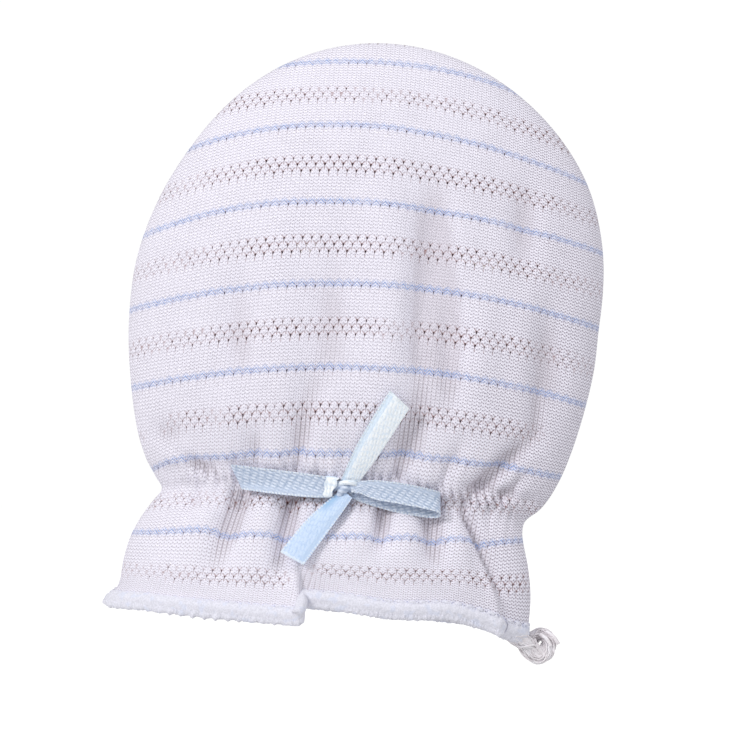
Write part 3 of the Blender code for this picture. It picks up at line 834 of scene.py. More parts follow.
def lattice_faces(rows, index, holes):
    """Squares between two rows, triangles where a column ends at a seam, and no face in a hole."""
    faces = []
    for (number, lows, _), (above, highs, _) in zip(rows, rows[1:]):
        i = j = 0
        while i < len(lows) - 1 or j < len(highs) - 1:
            next_low = lows[i + 1] if i < len(lows) - 1 else PAST_END
            next_high = highs[j + 1] if j < len(highs) - 1 else PAST_END
            low, high = index[(number, lows[i])], index[(above, highs[j])]
            if next_low == next_high:
                if (number, lows[i]) not in holes or lows[i] != highs[j]:
                    faces.append((low, low + 1, high + 1, high))
                i, j = i + 1, j + 1
            elif next_low < next_high:
                faces.append((low, low + 1, high))
                i += 1
            else:
                faces.append((low, high + 1, high))
                j += 1
    return faces


# %% A panel as a mesh
MESH_SMOOTH = 62.0
CLOTH_THICKNESS = 0.5
SUNKEN_FROM = 0.3
SUNKEN_DEPTH = 1.0
KNIT_MAP = "knit"
STATE_MAP = "state"
BAKE_MAP = "OFBake"
BAKE_FRONT_SHARE = 0.8
BAKE_GAP = 0.01
BAKE_BACK_SHARE = 0.18
PANEL_HALF = 49.0
PANEL_TALL = 116.0


def link_mesh(name, points, faces, finish):
    """Make a smooth object of points in millimetres and of faces."""
    mesh = bpy.data.meshes.new(name)
    mesh.from_pydata([tuple(p) for p in np.asarray(points) * MM], [], faces)
    mesh.materials.append(finish)
    mesh.shade_smooth()
    piece = bpy.data.objects.new(name, mesh)
    bpy.context.scene.collection.objects.link(piece)
    return piece


def only(piece):
    """Select one piece alone and make it the active one."""
    bpy.ops.object.select_all(action="DESELECT")
    piece.select_set(True)
    bpy.context.view_layer.objects.active = piece


def add_wall(piece, thickness, offset):
    """Give a sheet its thickness, and keep its cut edges crisp."""
    only(piece)
    wall = piece.modifiers.new("wall", "SOLIDIFY")
    wall.thickness = thickness * MM
    wall.offset = offset
    bpy.ops.object.modifier_apply(modifier="wall")
    bpy.ops.object.shade_smooth_by_angle(angle=math.radians(MESH_SMOOTH))


def lay_map(piece, name, across, up):
    """Give a piece a map from two values of each of its points."""
    corner = np.empty(len(piece.data.loops), dtype=np.int32)
    piece.data.loops.foreach_get("vertex_index", corner)
    layer = piece.data.uv_layers.new(name=name)
    layer.data.foreach_set("uv", np.stack([across[corner], up[corner]], axis=1).ravel())


def knit_panel(name, side, finish):
    """A panel whose mesh follows its courses and wales, and the number of its open eyelets."""
    rows = lattice(side)
    places = [(number, column) for number, columns, _ in rows for column in columns]
    index = {place: i for i, place in enumerate(places)}
    u = np.array([length for _, _, lengths in rows for length in lengths])
    v = np.array([number * COURSE for number, _ in places])
    holes, change = open_eyelets(side, rows, index, *on_cloth(side, u, v))
    x, z = on_cloth(side, u + change["shift"], v)
    points, _, rise = settle(side, x, z + change["raise"], u, change["sink"])
    sunken = fade_in(-rise, SUNKEN_FROM, SUNKEN_DEPTH)

    top = len(points)
    points = np.append(points, [[CROWN_TOP[0], side * 0.02, CROWN_TOP[1] - SEAM_GROOVE]], axis=0)
    u, v = np.append(u, 0.0), np.append(v, LEVELS[side]["cloth"][-1])
    faces = lattice_faces(rows, index, holes)
    faces += [(i, i + 1, top) for i in range(index[(rows[-1][0], LEFT_SEAM)], top - 1)]
    if side == BACK:
        faces = [face[::-1] for face in faces]
    piece = link_mesh(name, points, faces, finish)
    lay_map(piece, KNIT_MAP, u, v)
    lay_map(piece, STATE_MAP, np.append(change["open"], 0.0), np.append(sunken, 0.0))
    outer = len(piece.data.polygons)
    add_wall(piece, CLOTH_THICKNESS, -1.0)
    lay_bake_map(piece, outer)
    return piece, len(holes)


def lay_bake_map(piece, outer):
    """Third map, for baking: the outer face of the cloth large, its inner face beside it."""
    mesh = piece.data
    knit = np.empty(2 * len(mesh.loops))
    mesh.uv_layers[KNIT_MAP].data.foreach_get("uv", knit)
    knit = knit.reshape(-1, 2)
    starts = np.empty(len(mesh.polygons), dtype=np.int32)
    sizes = np.empty(len(mesh.polygons), dtype=np.int32)
    mesh.polygons.foreach_get("loop_start", starts)
    mesh.polygons.foreach_get("loop_total", sizes)
    face_of = np.repeat(np.arange(len(starts)), sizes)
    inner = (face_of >= outer) & (face_of < 2 * outer)
    across = (knit[:, 0] + PANEL_HALF) / (2.0 * PANEL_HALF)
    across = np.where(inner, BAKE_FRONT_SHARE + BAKE_GAP + BAKE_BACK_SHARE * across,
                      BAKE_FRONT_SHARE * across)
    up = (knit[:, 1] + 1.0) / PANEL_TALL
    layer = mesh.uv_layers.new(name=BAKE_MAP)
    layer.data.foreach_set("uv", np.stack([across, up], axis=1).ravel())


# %% [markdown]
# ## Finish of the knit
# The stitches are too small to model one by one, so the finish draws them from the lengths
# along the cloth, which the panel's first map holds. Each wale is a column of V shapes, two
# slanted legs to a stitch, which raise the surface a tenth of a millimetre. The gap inside a V
# and the gap between two wales are small dots of painted shade, half a course apart in height,
# and this painted shade is stronger towards the right, where the light rakes the cloth. The
# blue yarn is a zigzag two courses high.
#
# The second map holds the cloth's state: how open the eyelets near a point are, and how far the
# point is sunken into a fold. Round an open eyelet the knit is thinner, and a Y of warm painted
# shade darkens it, with a small slit below it where the stitches part, and between two eyelets
# it stands up as a round loop.
# In a fold, painted shade darkens the cloth, and the grooves between its wales show as lines of
# painted shade.

# %% Knit finish
WALE = 2.0 * HALF_WALE
EYELET_STEP = EYELET_COLUMNS * HALF_WALE
GAP_PLACE = 0.5 * HALF_WALE
REPEAT = COURSE * COURSES
STRIPE_PLACE = 0.75
KNIT_WHITE = (0.90, 0.88, 0.98, 1.0)
# Painted shades of the knit: in its stitch gaps, in its folds and in the grooves between wales
KNIT_GAP_SHADE = (0.31, 0.27, 0.33, 1.0)
KNIT_SHADED = (0.52, 0.47, 0.52, 1.0)
KNIT_GROOVE_SHADE = (0.38, 0.32, 0.36, 1.0)
STRIPE_BLUE = (0.32, 0.44, 0.76, 1.0)
EYELET_SHADE = (0.31, 0.15, 0.14, 1.0)
KNIT_RELIEF = 0.11

knit_finish, knit_shader, knit = start_finish("pointelle_knit", 0.92, 0.1, 0.6)
cloth_map = knit.node("UVMap", {"uv_map": KNIT_MAP})
across_cloth, up_cloth = cloth_map.split()
openness, sunken = knit.node("UVMap", {"uv_map": STATE_MAP}).split()
yarn_noise = cloth_map.noise(1.1, 3.0, 0.6)
fibre_noise = cloth_map.noise(5.5, 2.0, 0.7)
patch_noise = cloth_map.noise(0.16)

u_uneven = across_cloth + (yarn_noise - 0.5) * 0.07
v_uneven = up_cloth + (yarn_noise - 0.5) * 0.10
from_gap = abs(u_uneven.folded(WALE, GAP_PLACE))           # 0 between wales, most in a wale
leg = 0.5 - 0.5 * from_gap.cosine(0.5 * WALE)              # highest along the two legs
slanted = v_uneven + from_gap * 1.3                        # legs of a V run up and outwards
strand = 0.5 + 0.5 * slanted.cosine(COURSE)
staggered = 0.5 + 0.5 * (v_uneven + from_gap * (COURSE / WALE)).cosine(COURSE)
dash = staggered.between(0.45, 0.95) * (1.0 - leg * 0.85)  # gap inside a V and between two
stitch = (0.25 + 0.75 * strand) * (0.40 + 0.60 * leg)
groove = 1.0 - from_gap.between(0.02, 0.18)

outer_step = across_cloth.folded(EYELET_STEP, GAP_PLACE)
middle_step = across_cloth.folded(EYELET_STEP, GAP_PLACE + 0.5 * EYELET_STEP)
from_peak = abs(middle_step)
chevron = (up_cloth + from_peak * 1.2 + (yarn_noise - 0.5) * 0.2).cosine(0.58).between(-0.6, 0.7)
stripe_line = up_cloth.folded(REPEAT, STRIPE_PLACE) + from_peak * 0.62 - 0.25
stripe = 1.0 - abs(stripe_line).between(0.25, 0.90)
# Part of the blue's strength is painted shade: it is stronger in folds
stripe = stripe * (0.08 + 0.92 * chevron) * (yarn_noise * 1.65 + sunken * 0.2)
stripe = stripe * (0.4 + 0.6 * up_cloth.between(4.0, 6.0))       # the lowest one is overcast


def eyelet_shade(step, course):
    """Y of painted shade at one row of eyelets: a core, two arms above it and a slit below it."""
    up = up_cloth.folded(REPEAT, (course + 0.5) * COURSE)
    aside = abs(step)
    core = 1.0 - ((aside / 0.30) ** 2.0 + (up / 0.42) ** 2.0).between(0.3, 1.4)
    arms = 1.0 - abs(aside - up * 0.62).between(0.05, 0.22)
    arms = arms * up.between(0.05, 0.2) * (1.0 - up.between(0.45, 0.85))
    slit = (1.0 - aside.between(0.04, 0.16)) * (1.0 - abs(up + 0.60).between(0.20, 0.45))
    return core + arms * 0.8 + slit * 0.8


def knit_blob(step, course):
    """Round loop of knit that stands up between two eyelets of a row."""
    up = up_cloth.folded(REPEAT, (course + 0.5) * COURSE)
    return 1.0 - ((step / 0.34) ** 2.0 + ((up - 0.1) / 0.46) ** 2.0).between(0.2, 1.2)


eyelets = (eyelet_shade(outer_step, 10) * 0.85 + eyelet_shade(middle_step, 12)
           + eyelet_shade(outer_step, 14) * 0.85 + eyelet_shade(outer_step, 0) * 0.6)
eyelets = eyelets * openness * (0.5 + yarn_noise * 0.9)
blobs = knit_blob(middle_step, 10) + knit_blob(outer_step, 12) + knit_blob(middle_step, 14)
blobs = blobs * openness
# Painted shade in the stitch gaps, stronger towards the right where the light rakes the cloth, and
# weaker on the raised loops
gap_shade_to_right = across_cloth.between(6.0, 36.0)
gap_shade = dash * (0.44 + patch_noise * 0.45 + gap_shade_to_right * 0.70) * (1.0 - blobs * 0.5)
# Painted shade in the grooves between wales, strongest in folds on the lower part of the mitten;
# the grooves are also sunk
groove_shade = groove * (0.08 + 0.50 * sunken * (1.0 - up_cloth.between(36.0, 52.0)))
colour = gap_shade.mix(KNIT_WHITE, KNIT_GAP_SHADE)
# Painted shade in the folds
colour = (sunken * 0.36).mix(colour, KNIT_SHADED)
colour = groove_shade.mix(colour, KNIT_GROOVE_SHADE)
colour = stripe.mix(colour, STRIPE_BLUE)
# Warm painted shade round the eyelets, of the dark inside seen through the thin knit
colour = (eyelets * 0.9).mix(colour, EYELET_SHADE)
relief = (stitch * (1.0 - blobs * 0.4) + fibre_noise * 0.1 + blobs * 0.8 - eyelets * 0.8
          - groove_shade * 1.2)
finish_surface(knit_shader, knit, colour, relief, KNIT_RELIEF)
print("knit finish nodes:", len(knit.tree.nodes))

# %% Panels
front_panel, front_holes = knit_panel("knit_front", FRONT, knit_finish)
back_panel, back_holes = knit_panel("knit_back", BACK, knit_finish)
for panel, holes in ((front_panel, front_holes), (back_panel, back_holes)):
    print(panel.name, len(panel.data.polygons), "faces,", holes, "eyelets")

# %% [markdown]
# ## Thread
# An overlock machine wraps the raw edge in three threads: a cord of loops along the edge, slanted
# threads up both faces, and a line of short needle stitches that holds them. A path swept by a
# ring gives a thread, and a ring whose radius swells along a spiral gives the twist of a cord.
# The threads of one edge are many, so each has only a few faces, and all go into one mesh.


# %% Tubes along paths
def tube(path, radius, sides, aims=None):
    """Points and faces of a closed tube. radius is a number, or one for each ring and side.

    aims are the directions of the first side of each ring, where they matter.
    """
    path = np.asarray(path, dtype=float)
    run = unit(np.gradient(path, axis=0))
    across = np.cross(run[0], (0.3, 0.9, 0.31))
    frames = []
    for ring, direction in enumerate(run):
        if aims is not None:
            across = aims[ring]
        across = across - direction * across.dot(direction)
        across /= np.linalg.norm(across)
        frames.append((across, np.cross(direction, across)))
    frames = np.array(frames)
    angle = 2.0 * math.pi * np.arange(sides) / sides
    radius = np.broadcast_to(np.asarray(radius, dtype=float), (len(path), sides))
    ring = (np.cos(angle)[None, :, None] * frames[:, None, 0]
            + np.sin(angle)[None, :, None] * frames[:, None, 1])
    points = (path[:, None, :] + radius[..., None] * ring).reshape(-1, 3)
    faces = [(i * sides + k, i * sides + (k + 1) % sides,
              (i + 1) * sides + (k + 1) % sides, (i + 1) * sides + k)
             for i in range(len(path) - 1) for k in range(sides)]
    faces.append(tuple(range(sides))[::-1])
    faces.append(tuple(range(len(points) - sides, len(points))))
    return points, faces


def grid_faces(rows, wide):
    """Faces of a grid with so many points in each of its rows."""
    return [(i * wide + k, (i + 1) * wide + k, (i + 1) * wide + k + 1, i * wide + k + 1)
            for i in range(rows - 1) for k in range(wide - 1)]


def join_parts(parts):
    """One list of points and one of faces from several."""
    points, faces, count = [], [], 0
    for some, few in parts:
        points.append(some)
        faces += [tuple(i + count for i in face) for face in few]
        count += len(some)
    return np.concatenate(points), faces


def curve_through(points, steps):
    """Smooth path through a few points, of as many values as these have."""
    points = np.asarray(points, dtype=float)
    places = np.arange(len(points), dtype=float)
    fine = np.linspace(0.0, len(points) - 1.0, steps)
    return np.stack([through(fine, places, values) for values in points.T], axis=1)


# %% Thread finish
THREAD_RELIEF = 0.08


def thread_finish(name, white, shade, tint, tint_share):
    """Soft spun thread: fine fibres, a little shade between them, and patches of a tint."""
    material, shader, start = start_finish(name, 0.95, 0.3, 0.7)
    place = start.node("TexCoord", {}, output="Object")
    fibres = place.noise(3800.0, dimensions="3D")
    plies = place.noise(1500.0, dimensions="3D")
    patches = place.noise(620.0, detail=1.0, dimensions="3D")
    colour = fibres.between(0.3, 0.7).mix(shade, white)
    colour = (patches.between(0.52, 0.68) * tint_share).mix(colour, tint)
    finish_surface(shader, start, colour, fibres * 0.5 + plies, THREAD_RELIEF)
    return material


hem_finish = thread_finish("overlock_thread", (0.80, 0.80, 0.89, 1.0), (0.66, 0.66, 0.74, 1.0),
                           (0.60, 0.68, 0.90, 1.0), 0.28)
# The chain's pink tint is painted light reflected from skin
curl_finish = thread_finish("chain_thread", (0.90, 0.87, 0.90, 1.0), (0.74, 0.69, 0.72, 1.0),
                            (0.92, 0.92, 0.96, 1.0), 0.5)

# %% Overlocked hem
HEM_EDGE = -COURSE
HEM_RADIUS = 0.88
HEM_SIDES = 18
HEM_STEP = 0.22
HEM_INSET = 0.30          # how far its middle lies behind the cloth's outer face
HEM_DROP = 0.85           # and below the lowest course
HEM_TALL = 1.3            # how much further it reaches up over the cloth
HEM_FLAT = 0.28           # share of its thickness by which it is pressed flat
NEEDLE_LINE = 0.95
STITCH = 2.0
TOOTH = 0.42
TOOTHED_PLACE = -22.0     # the teeth stand out most here, and less further on
THREAD = 0.30
THREAD_SINK = 0.20
# Slanted threads: their starts in a stitch and their leans, then the heights and lifts of their
# points on the cloth, and the turns round the cord of the others
THREAD_STARTS = ((0.0, 0.8), (0.67, 0.7), (1.33, 0.9))
THREAD_HEIGHTS = np.array([0.9, 0.4, -0.1, -0.5])
THREAD_LIFTS = (-0.15, 0.02, 0.10, 0.14)
THREAD_ROUND = (0.35, 1.1, 1.9, 2.8)
# Needle stitches: places along the edge, heights and lifts of the points of one
NEEDLE_PLACES = np.array([-0.50, -0.2, 0.2, 0.50])
NEEDLE_HEIGHTS = NEEDLE_LINE + np.array([0.10, 0.04, -0.04, -0.10])
NEEDLE_LIFTS = (-0.15, 0.06, 0.06, -0.15)


def edge_frame(side, u):
    """Points, outward and downward directions along the lowest course."""
    x, z = on_cloth(side, u, np.full_like(u, HEM_EDGE))
    edge, out, _ = settle(side, x, z, u)
    x, z = on_cloth(side, u, np.full_like(u, HEM_EDGE + 1.2))
    above, _, _ = settle(side, x, z, u)
    return edge, out, unit(edge - above)


def end_taper(along, left, right):
    """Share of its full thickness that the rolled edge has: it thins to a point at both ends."""
    near = np.minimum(along - left, right - along)
    return np.minimum(0.12 + near / 3.6, 0.5 + 0.5 * smooth(near / 5.0))


def hem_cord(side, left, right):
    """Rolled cord of loops round the edge, with soft teeth where they stand out below."""
    rng = np.random.default_rng(7 if side == FRONT else 8)
    u = np.linspace(left, right, int((right - left) / HEM_STEP))
    edge, out, down = edge_frame(side, u)
    path = edge - out * HEM_INSET + down * HEM_DROP
    angle = 2.0 * math.pi * np.arange(HEM_SIDES)[None, :] / HEM_SIDES
    along = u[:, None]
    swell = 0.06 * np.cos(2.0 * angle + 2.0 * math.pi * along / 1.3)
    swell = swell + 0.06 * np.sin(5.0 * angle - 7.3 * along) * np.sin(3.1 * along)
    swell = swell + rng.uniform(-0.05, 0.05, (len(u), HEM_SIDES))
    below = np.maximum(0.0, np.cos(angle)) ** 2
    above = np.maximum(0.0, -np.cos(angle)) ** 1.5
    toothed = 0.25 + 0.75 * bell(path[:, :1] - TOOTHED_PLACE, 7.0)
    tooth = TOOTH * toothed * (0.5 + 0.5 * np.cos(2.0 * math.pi * along / STITCH)) ** 3
    fine = 0.10 * np.abs(np.sin(math.pi * along / 0.85)) * (0.7 + 0.3 * np.sin(1.3 * along))
    flat = 1.0 - HEM_FLAT * np.sin(angle) ** 2
    radius = HEM_RADIUS * (1.0 + swell) * flat + (tooth + fine) * below + HEM_TALL * above
    return tube(path, radius * end_taper(along, left, right), HEM_SIDES, down)


def laid_on(side, u, heights, lifts):
    """Paths on the cloth, one for each row of u, at the heights and lifts of their points."""
    flat = u.ravel()
    x, z = on_cloth(side, flat, np.tile(heights, len(u)))
    face, out, _ = settle(side, x, z, flat)
    return (face + out * np.tile(lifts, len(u))[:, None]).reshape(*u.shape, 3)


def hem_threads(side, left, right):
    """Slanted threads from the needle line round the cord, and the needle stitches."""
    rng = np.random.default_rng(5 if side == FRONT else 6)
    starts = np.arange(left + 1.2, right - 1.2, STITCH)
    starts = starts + rng.uniform(-0.18, 0.18, len(starts))
    shares = (NEEDLE_LINE - THREAD_HEIGHTS) / (NEEDLE_LINE - HEM_EDGE)
    parts = []
    for first, lean in THREAD_STARTS:
        begin = starts + first
        face = laid_on(side, begin[:, None] + lean * shares, THREAD_HEIGHTS, THREAD_LIFTS)
        turned = begin + lean * 1.2
        edge, out, down = edge_frame(side, turned)
        centre = edge - out * HEM_INSET + down * HEM_DROP
        thickness = end_taper(turned, left, right)
        for index in range(len(begin)):
            round_cord = HEM_RADIUS * thickness[index] - THREAD_SINK * rng.uniform(0.7, 1.3)
            round_cord = max(round_cord, 0.1)
            wrap = [centre[index] + round_cord * ((1.0 - HEM_FLAT) * math.cos(t) * out[index]
                                                  + math.sin(t) * down[index])
                    for t in THREAD_ROUND]
            path = curve_through(np.concatenate([face[index], wrap]), 15)
            parts.append(tube(path, THREAD * rng.uniform(0.85, 1.15), 5))
    for stitch in laid_on(side, starts[:, None] + NEEDLE_PLACES, NEEDLE_HEIGHTS, NEEDLE_LIFTS):
        parts.append(tube(curve_through(stitch, 7), THREAD, 6))
    return parts


hems = {}
for side, name in ((FRONT, "overlock_front"), (BACK, "overlock_back")):
    edge_length = courses(side, np.array([HEM_EDGE]))[3][0]
    left, right = edge_length[0] + 0.05, edge_length[-1] - 0.05
    made = join_parts([hem_cord(side, left, right), *hem_threads(side, left, right)])
    hems[side] = link_mesh(name, *made, hem_finish)
    print(name, len(hems[side].data.polygons), "faces, edge of", round(right - left, 1), "mm")

# %% [markdown]
# ## Curl of thread chain
# Where the machine runs off the edge it leaves a chain of its own threads, which curls up into
# a fluffy knot at the corner. Loosely spun strands follow one bent path side by side, each on
# its own slow spiral. A core fills the gaps between them, and a few ends lie over them.

# %% Thread curl
CURL_POINTS = (
    (29.6, -6.4, -18.6),
    (31.6, -4.6, -19.4),
    (33.4, -3.2, -20.8),
    (35.1, -2.3, -22.3),
    (36.6, -1.7, -23.3),
    (37.8, -1.3, -22.5),
    (38.4, -0.9, -21.0),
    (37.8, -0.4, -19.9),
    (36.6, 0.1, -19.6),
    (35.5, 0.1, -20.3),
    (35.3, -0.5, -21.4),
)
LOOSE_ENDS = (
    ((37.6, -1.4, -18.9), (38.9, -2.3, -19.6), (39.9, -2.1, -20.8)),
    ((36.6, -1.6, -19.5), (37.7, -2.3, -20.1), (38.6, -2.2, -21.3)),
    ((35.6, -1.8, -20.4), (36.4, -2.6, -21.9), (37.7, -2.5, -23.1)),
    ((33.2, -4.2, -20.6), (34.8, -3.3, -22.2), (36.8, -2.8, -23.4)),
)
CURL_STRANDS = 60
CURL_SPREAD = 1.28
CURL_CORE = 0.84
STRAND = 0.17
LOOSE_THREAD = 0.33


def curl_strands():
    """Strands on slow spirals round the curl's path, and a few loose ends over them."""
    rng = np.random.default_rng(31)
    path = curve_through(CURL_POINTS, 110)
    length = lengths_along(path)
    run = unit(np.gradient(path, axis=0))
    aside = unit(np.cross(run, (0.0, 1.0, 0.0)))
    ahead = np.cross(aside, run)
    spread = 0.85 + 0.35 * fade_in(length, 0.0, 3.0) - 0.30 * fade_in(length, 9.0, 5.0)
    spread = CURL_SPREAD * spread
    parts = [tube(path, (CURL_CORE * spread)[:, None], 12)]
    for strand in range(CURL_STRANDS):
        phase = 2.4 * strand + rng.uniform(-0.3, 0.3)
        away = spread * math.sqrt((strand + 0.5) / CURL_STRANDS)
        away = away * (1.0 + 0.10 * np.sin(length * rng.uniform(0.8, 2.6) + phase))
        turn = phase + 2.0 * math.pi * length / rng.uniform(22.0, 60.0)
        turn = turn + 0.5 * np.sin(length * rng.uniform(0.4, 1.2) + 2.0 * phase)
        line = path + aside * (away * np.cos(turn))[:, None]
        line = line + ahead * (away * np.sin(turn))[:, None]
        first, last = rng.integers(0, 12), len(path) - rng.integers(0, 22)
        parts.append(tube(line[first:last], STRAND * rng.uniform(0.8, 1.25), 5))
    for ends in LOOSE_ENDS:
        parts.append(tube(curve_through(ends, 16), LOOSE_THREAD, 7))
    return parts


curl = link_mesh("thread_curl", *join_parts(curl_strands()), curl_finish)
print("thread curl:", len(curl.data.polygons), "faces")

# %% [markdown]
# ## Satin ribbon
# The bow is one narrow ribbon: two loops, two cut tails and the wrap in the middle. Satin is
# smooth on its face and dull with fine slanted ribs on its reverse, and a woven edge runs along
# both sides. Each piece is a strip of faces through a few stations: a place on the front of the
# mitten, the ribbon's width, how far it stands off the cloth, how its end slants and how it
# tilts. A loop's stations run out along its rear layer and back along its front one.

# %% Ribbon strips
RIBBON_WIDTH = 4.4
RIBBON_THICKNESS = 0.22
RIBBON_CLEAR = 0.15
RIBBON_MAP = "ribbon"
RIBBON_SIDES = 8
STATION_COLUMNS = ("x", "z", "width", "lift", "slant", "tilt", "crown")


def cover_depth(x, z):
    """Depth of the front of the mitten, on which the bow lies."""
    return form_depth(x, z, FRONT) + RIBBON_CLEAR


def ribbon_strip(name, stations, turn, steps, finish, edge_fold=0.0):
    """Strip of ribbon through stations. turn is the direction of its run, in degrees.

    edge_fold is how far its left edge is bent back from its face.
    """
    row = dict(zip(STATION_COLUMNS, curve_through(stations, steps).T[:, :, None]))
    run = np.array([math.cos(math.radians(turn)), math.sin(math.radians(turn))])
    side = np.linspace(-1.0, 1.0, RIBBON_SIDES + 1)[None, :]
    half = 0.5 * row["width"] * side
    x = row["x"] - run[1] * half + run[0] * row["slant"] * side
    z = row["z"] + run[0] * half + run[1] * row["slant"] * side
    lift = row["lift"] + row["tilt"] * side + row["crown"] * (1.0 - side ** 2)
    lift = lift - edge_fold * fade_in(side, 0.45, 0.3)
    y = -(cover_depth(x, z) + lift)
    points = np.stack([x, y, z], axis=2)
    length = lengths_along(points[:, RIBBON_SIDES // 2])
    length = length[-1] - length                           # counted from the free end
    wide = RIBBON_SIDES + 1
    piece = link_mesh(name, points.reshape(-1, 3), grid_faces(steps, wide), finish)
    lay_map(piece, RIBBON_MAP, np.broadcast_to(0.5 * RIBBON_WIDTH * side, (steps, wide)).ravel(),
            np.repeat(length, wide))
    add_wall(piece, RIBBON_THICKNESS, 0.0)
    return piece


# %% Ribbon finishes
SEALED = 0.55
RIBBON_RELIEF = 0.08
KNOT_SHADE_BLUE = (0.26, 0.47, 0.74, 1.0)
WOVEN_EDGE = (0.84, 0.90, 0.95, 1.0)
SEALED_END_HIGHLIGHT = (0.86, 0.92, 0.96, 1.0)


def ribbon_finish(name, colour, shade, edge_strip_shade, roughness, contrast, crumple, knot_shade_share=0.0):
    """Ribbon with the dashes of its weave, woven edges and a heat-sealed end, with painted shade
    and highlights.

    knot_shade_share is how strongly painted shade darkens one edge near the knot.
    """
    material, shader, start = start_finish(name, roughness, 0.2, 0.3)
    shader.inputs["Specular IOR Level"].default_value = 0.55
    place = start.node("UVMap", {"uv_map": RIBBON_MAP})
    across, along = place.split()
    threads = place.noise(1.8, 3.0, 0.75)
    rows = 0.5 + 0.5 * (across + along * 0.33 + (threads - 0.5) * 0.12).cosine(0.62)
    steps = 0.5 + 0.5 * (along - across * 0.5).cosine(1.25)
    dashes = (rows * (0.25 + 0.75 * steps)).between(0.08, 0.75)
    edge = abs(across).between(1.80, 1.95)
    dots = 0.5 + 0.5 * along.cosine(0.60)
    sealed = 1.0 - (along + (threads - 0.5) * 0.6).between(0.6 * SEALED, SEALED)
    # Soft patches: uneven weave, and painted shade and light of crumpled satin
    mottled_tone_and_shade = (threads.between(0.35, 0.70) - 0.5) * (0.4 * contrast + 0.5 * crumple)
    tone = ((1.0 - dashes) * contrast + mottled_tone_and_shade).mix(colour, shade)
    # Painted shade at one edge near the knot, where the ribbon is pinched under it
    knot_shade = (0.0 - across).between(0.0, 1.6) * along.between(8.6, 11.0)
    tone = (knot_shade * knot_shade_share).mix(tone, KNOT_SHADE_BLUE)
    # Painted shade on a strip along one edge; on the upper tail it lies where the edge is folded
    # back
    tone = (across.between(1.0, 1.2) * 0.6).mix(tone, edge_strip_shade)
    tone = (edge * dots * 0.75).mix(tone, WOVEN_EDGE)
    # The heat-sealed end is paler: partly its melted edge, partly a painted highlight on its
    # crinkles
    tone = (sealed * 0.5).mix(tone, SEALED_END_HIGHLIGHT)
    relief = dashes * contrast + threads * crumple + edge * (0.4 + 0.6 * dots) + sealed * threads
    finish_surface(shader, start, tone, relief, RIBBON_RELIEF)
    return material


satin_face = ribbon_finish(
    "satin_face", (0.62, 0.75, 0.94, 1.0), (0.40, 0.56, 0.82, 1.0), (0.50, 0.64, 0.86, 1.0),
    roughness=0.42, contrast=0.40, crumple=0.9, knot_shade_share=0.75)
# The satin with painted sheen: near white, as its face looks where it catches the light
satin_sheen_painted = ribbon_finish(
    "satin_sheen_painted", (0.93, 0.97, 1.0, 1.0), (0.64, 0.76, 0.89, 1.0), (0.60, 0.75, 0.92, 1.0),
    roughness=0.34, contrast=0.45, crumple=1.0)
satin_reverse = ribbon_finish(
    "satin_reverse", (0.73, 0.80, 0.93, 1.0), (0.34, 0.43, 0.59, 1.0), (0.52, 0.61, 0.77, 1.0),
    roughness=0.48, contrast=0.80, crumple=0.6)

# %% Bow
LEFT_LOOP = (
    (-1.8, 3.2, 3.6, 0.5, 0.0, 0.0, 0.0),
    (-6.0, 3.2, 4.0, 0.25, -0.1, 0.0, 0.0),
    (-12.0, 3.3, 4.0, 0.25, -0.6, 0.0, 0.0),
    (-17.0, 3.55, 4.0, 0.35, -1.05, 0.0, 0.0),
    (-18.3, 3.6, 4.0, 0.95, -1.15, 0.0, 0.0),
    (-17.2, 3.6, 4.1, 1.55, -1.05, 0.0, 0.0),
    (-12.0, 3.45, 4.15, 1.5, -0.6, 0.15, 0.15),
    (-6.5, 3.35, 4.0, 1.6, -0.2, 0.15, 0.2),
    (-3.2, 3.3, 3.6, 1.7, 0.0, -0.1, 0.2),
    (-1.6, 3.2, 2.9, 1.5, 0.0, -0.2, 0.2),
)
RIGHT_LOOP = (
    (1.6, 2.8, 2.2, 0.5, 0.0, 0.0, 0.0),
    (5.5, 2.4, 3.4, 0.35, 0.0, 0.1, 0.0),
    (10.5, 1.9, 4.1, 0.3, 0.0, 0.1, 0.0),
    (15.6, 1.6, 4.2, 0.4, -0.1, 0.1, 0.0),
    (16.9, 2.0, 4.0, 1.15, -0.2, 0.0, 0.0),
    (15.8, 2.6, 3.6, 2.0, -0.2, -0.1, 0.1),
    (10.5, 3.3, 3.6, 2.1, 0.0, -0.2, 0.25),
    (5.8, 3.6, 3.3, 2.1, 0.0, -0.3, 0.3),
    (3.2, 3.8, 2.2, 2.1, 0.0, -0.3, 0.2),
    (1.6, 3.7, 1.8, 1.8, 0.0, -0.2, 0.1),
)
UPPER_TAIL = (
    (0.6, 3.6, 2.6, 1.2, 0.0, 0.0, 0.0),
    (1.9, 6.4, 3.3, 1.0, 0.0, 0.15, 0.1),
    (3.6, 10.0, 4.1, 0.9, 0.0, 0.2, 0.15),
    (6.0, 14.8, 4.4, 1.1, 0.1, 0.25, 0.15),
    (8.4, 19.4, 4.4, 1.5, 0.45, 0.3, 0.15),
)
LOWER_TAIL = (
    (0.9, 2.5, 2.3, 1.5, 0.0, 0.0, 0.1),
    (-0.9, 0.2, 3.1, 1.3, 0.0, 0.1, 0.3),
    (-3.6, -3.3, 4.1, 0.9, 0.0, 0.0, 0.2),
    (-5.8, -6.6, 4.4, 1.0, 0.1, 0.0, 0.2),
    (-7.5, -9.2, 4.4, 1.3, -0.5, 0.0, 0.15),
)

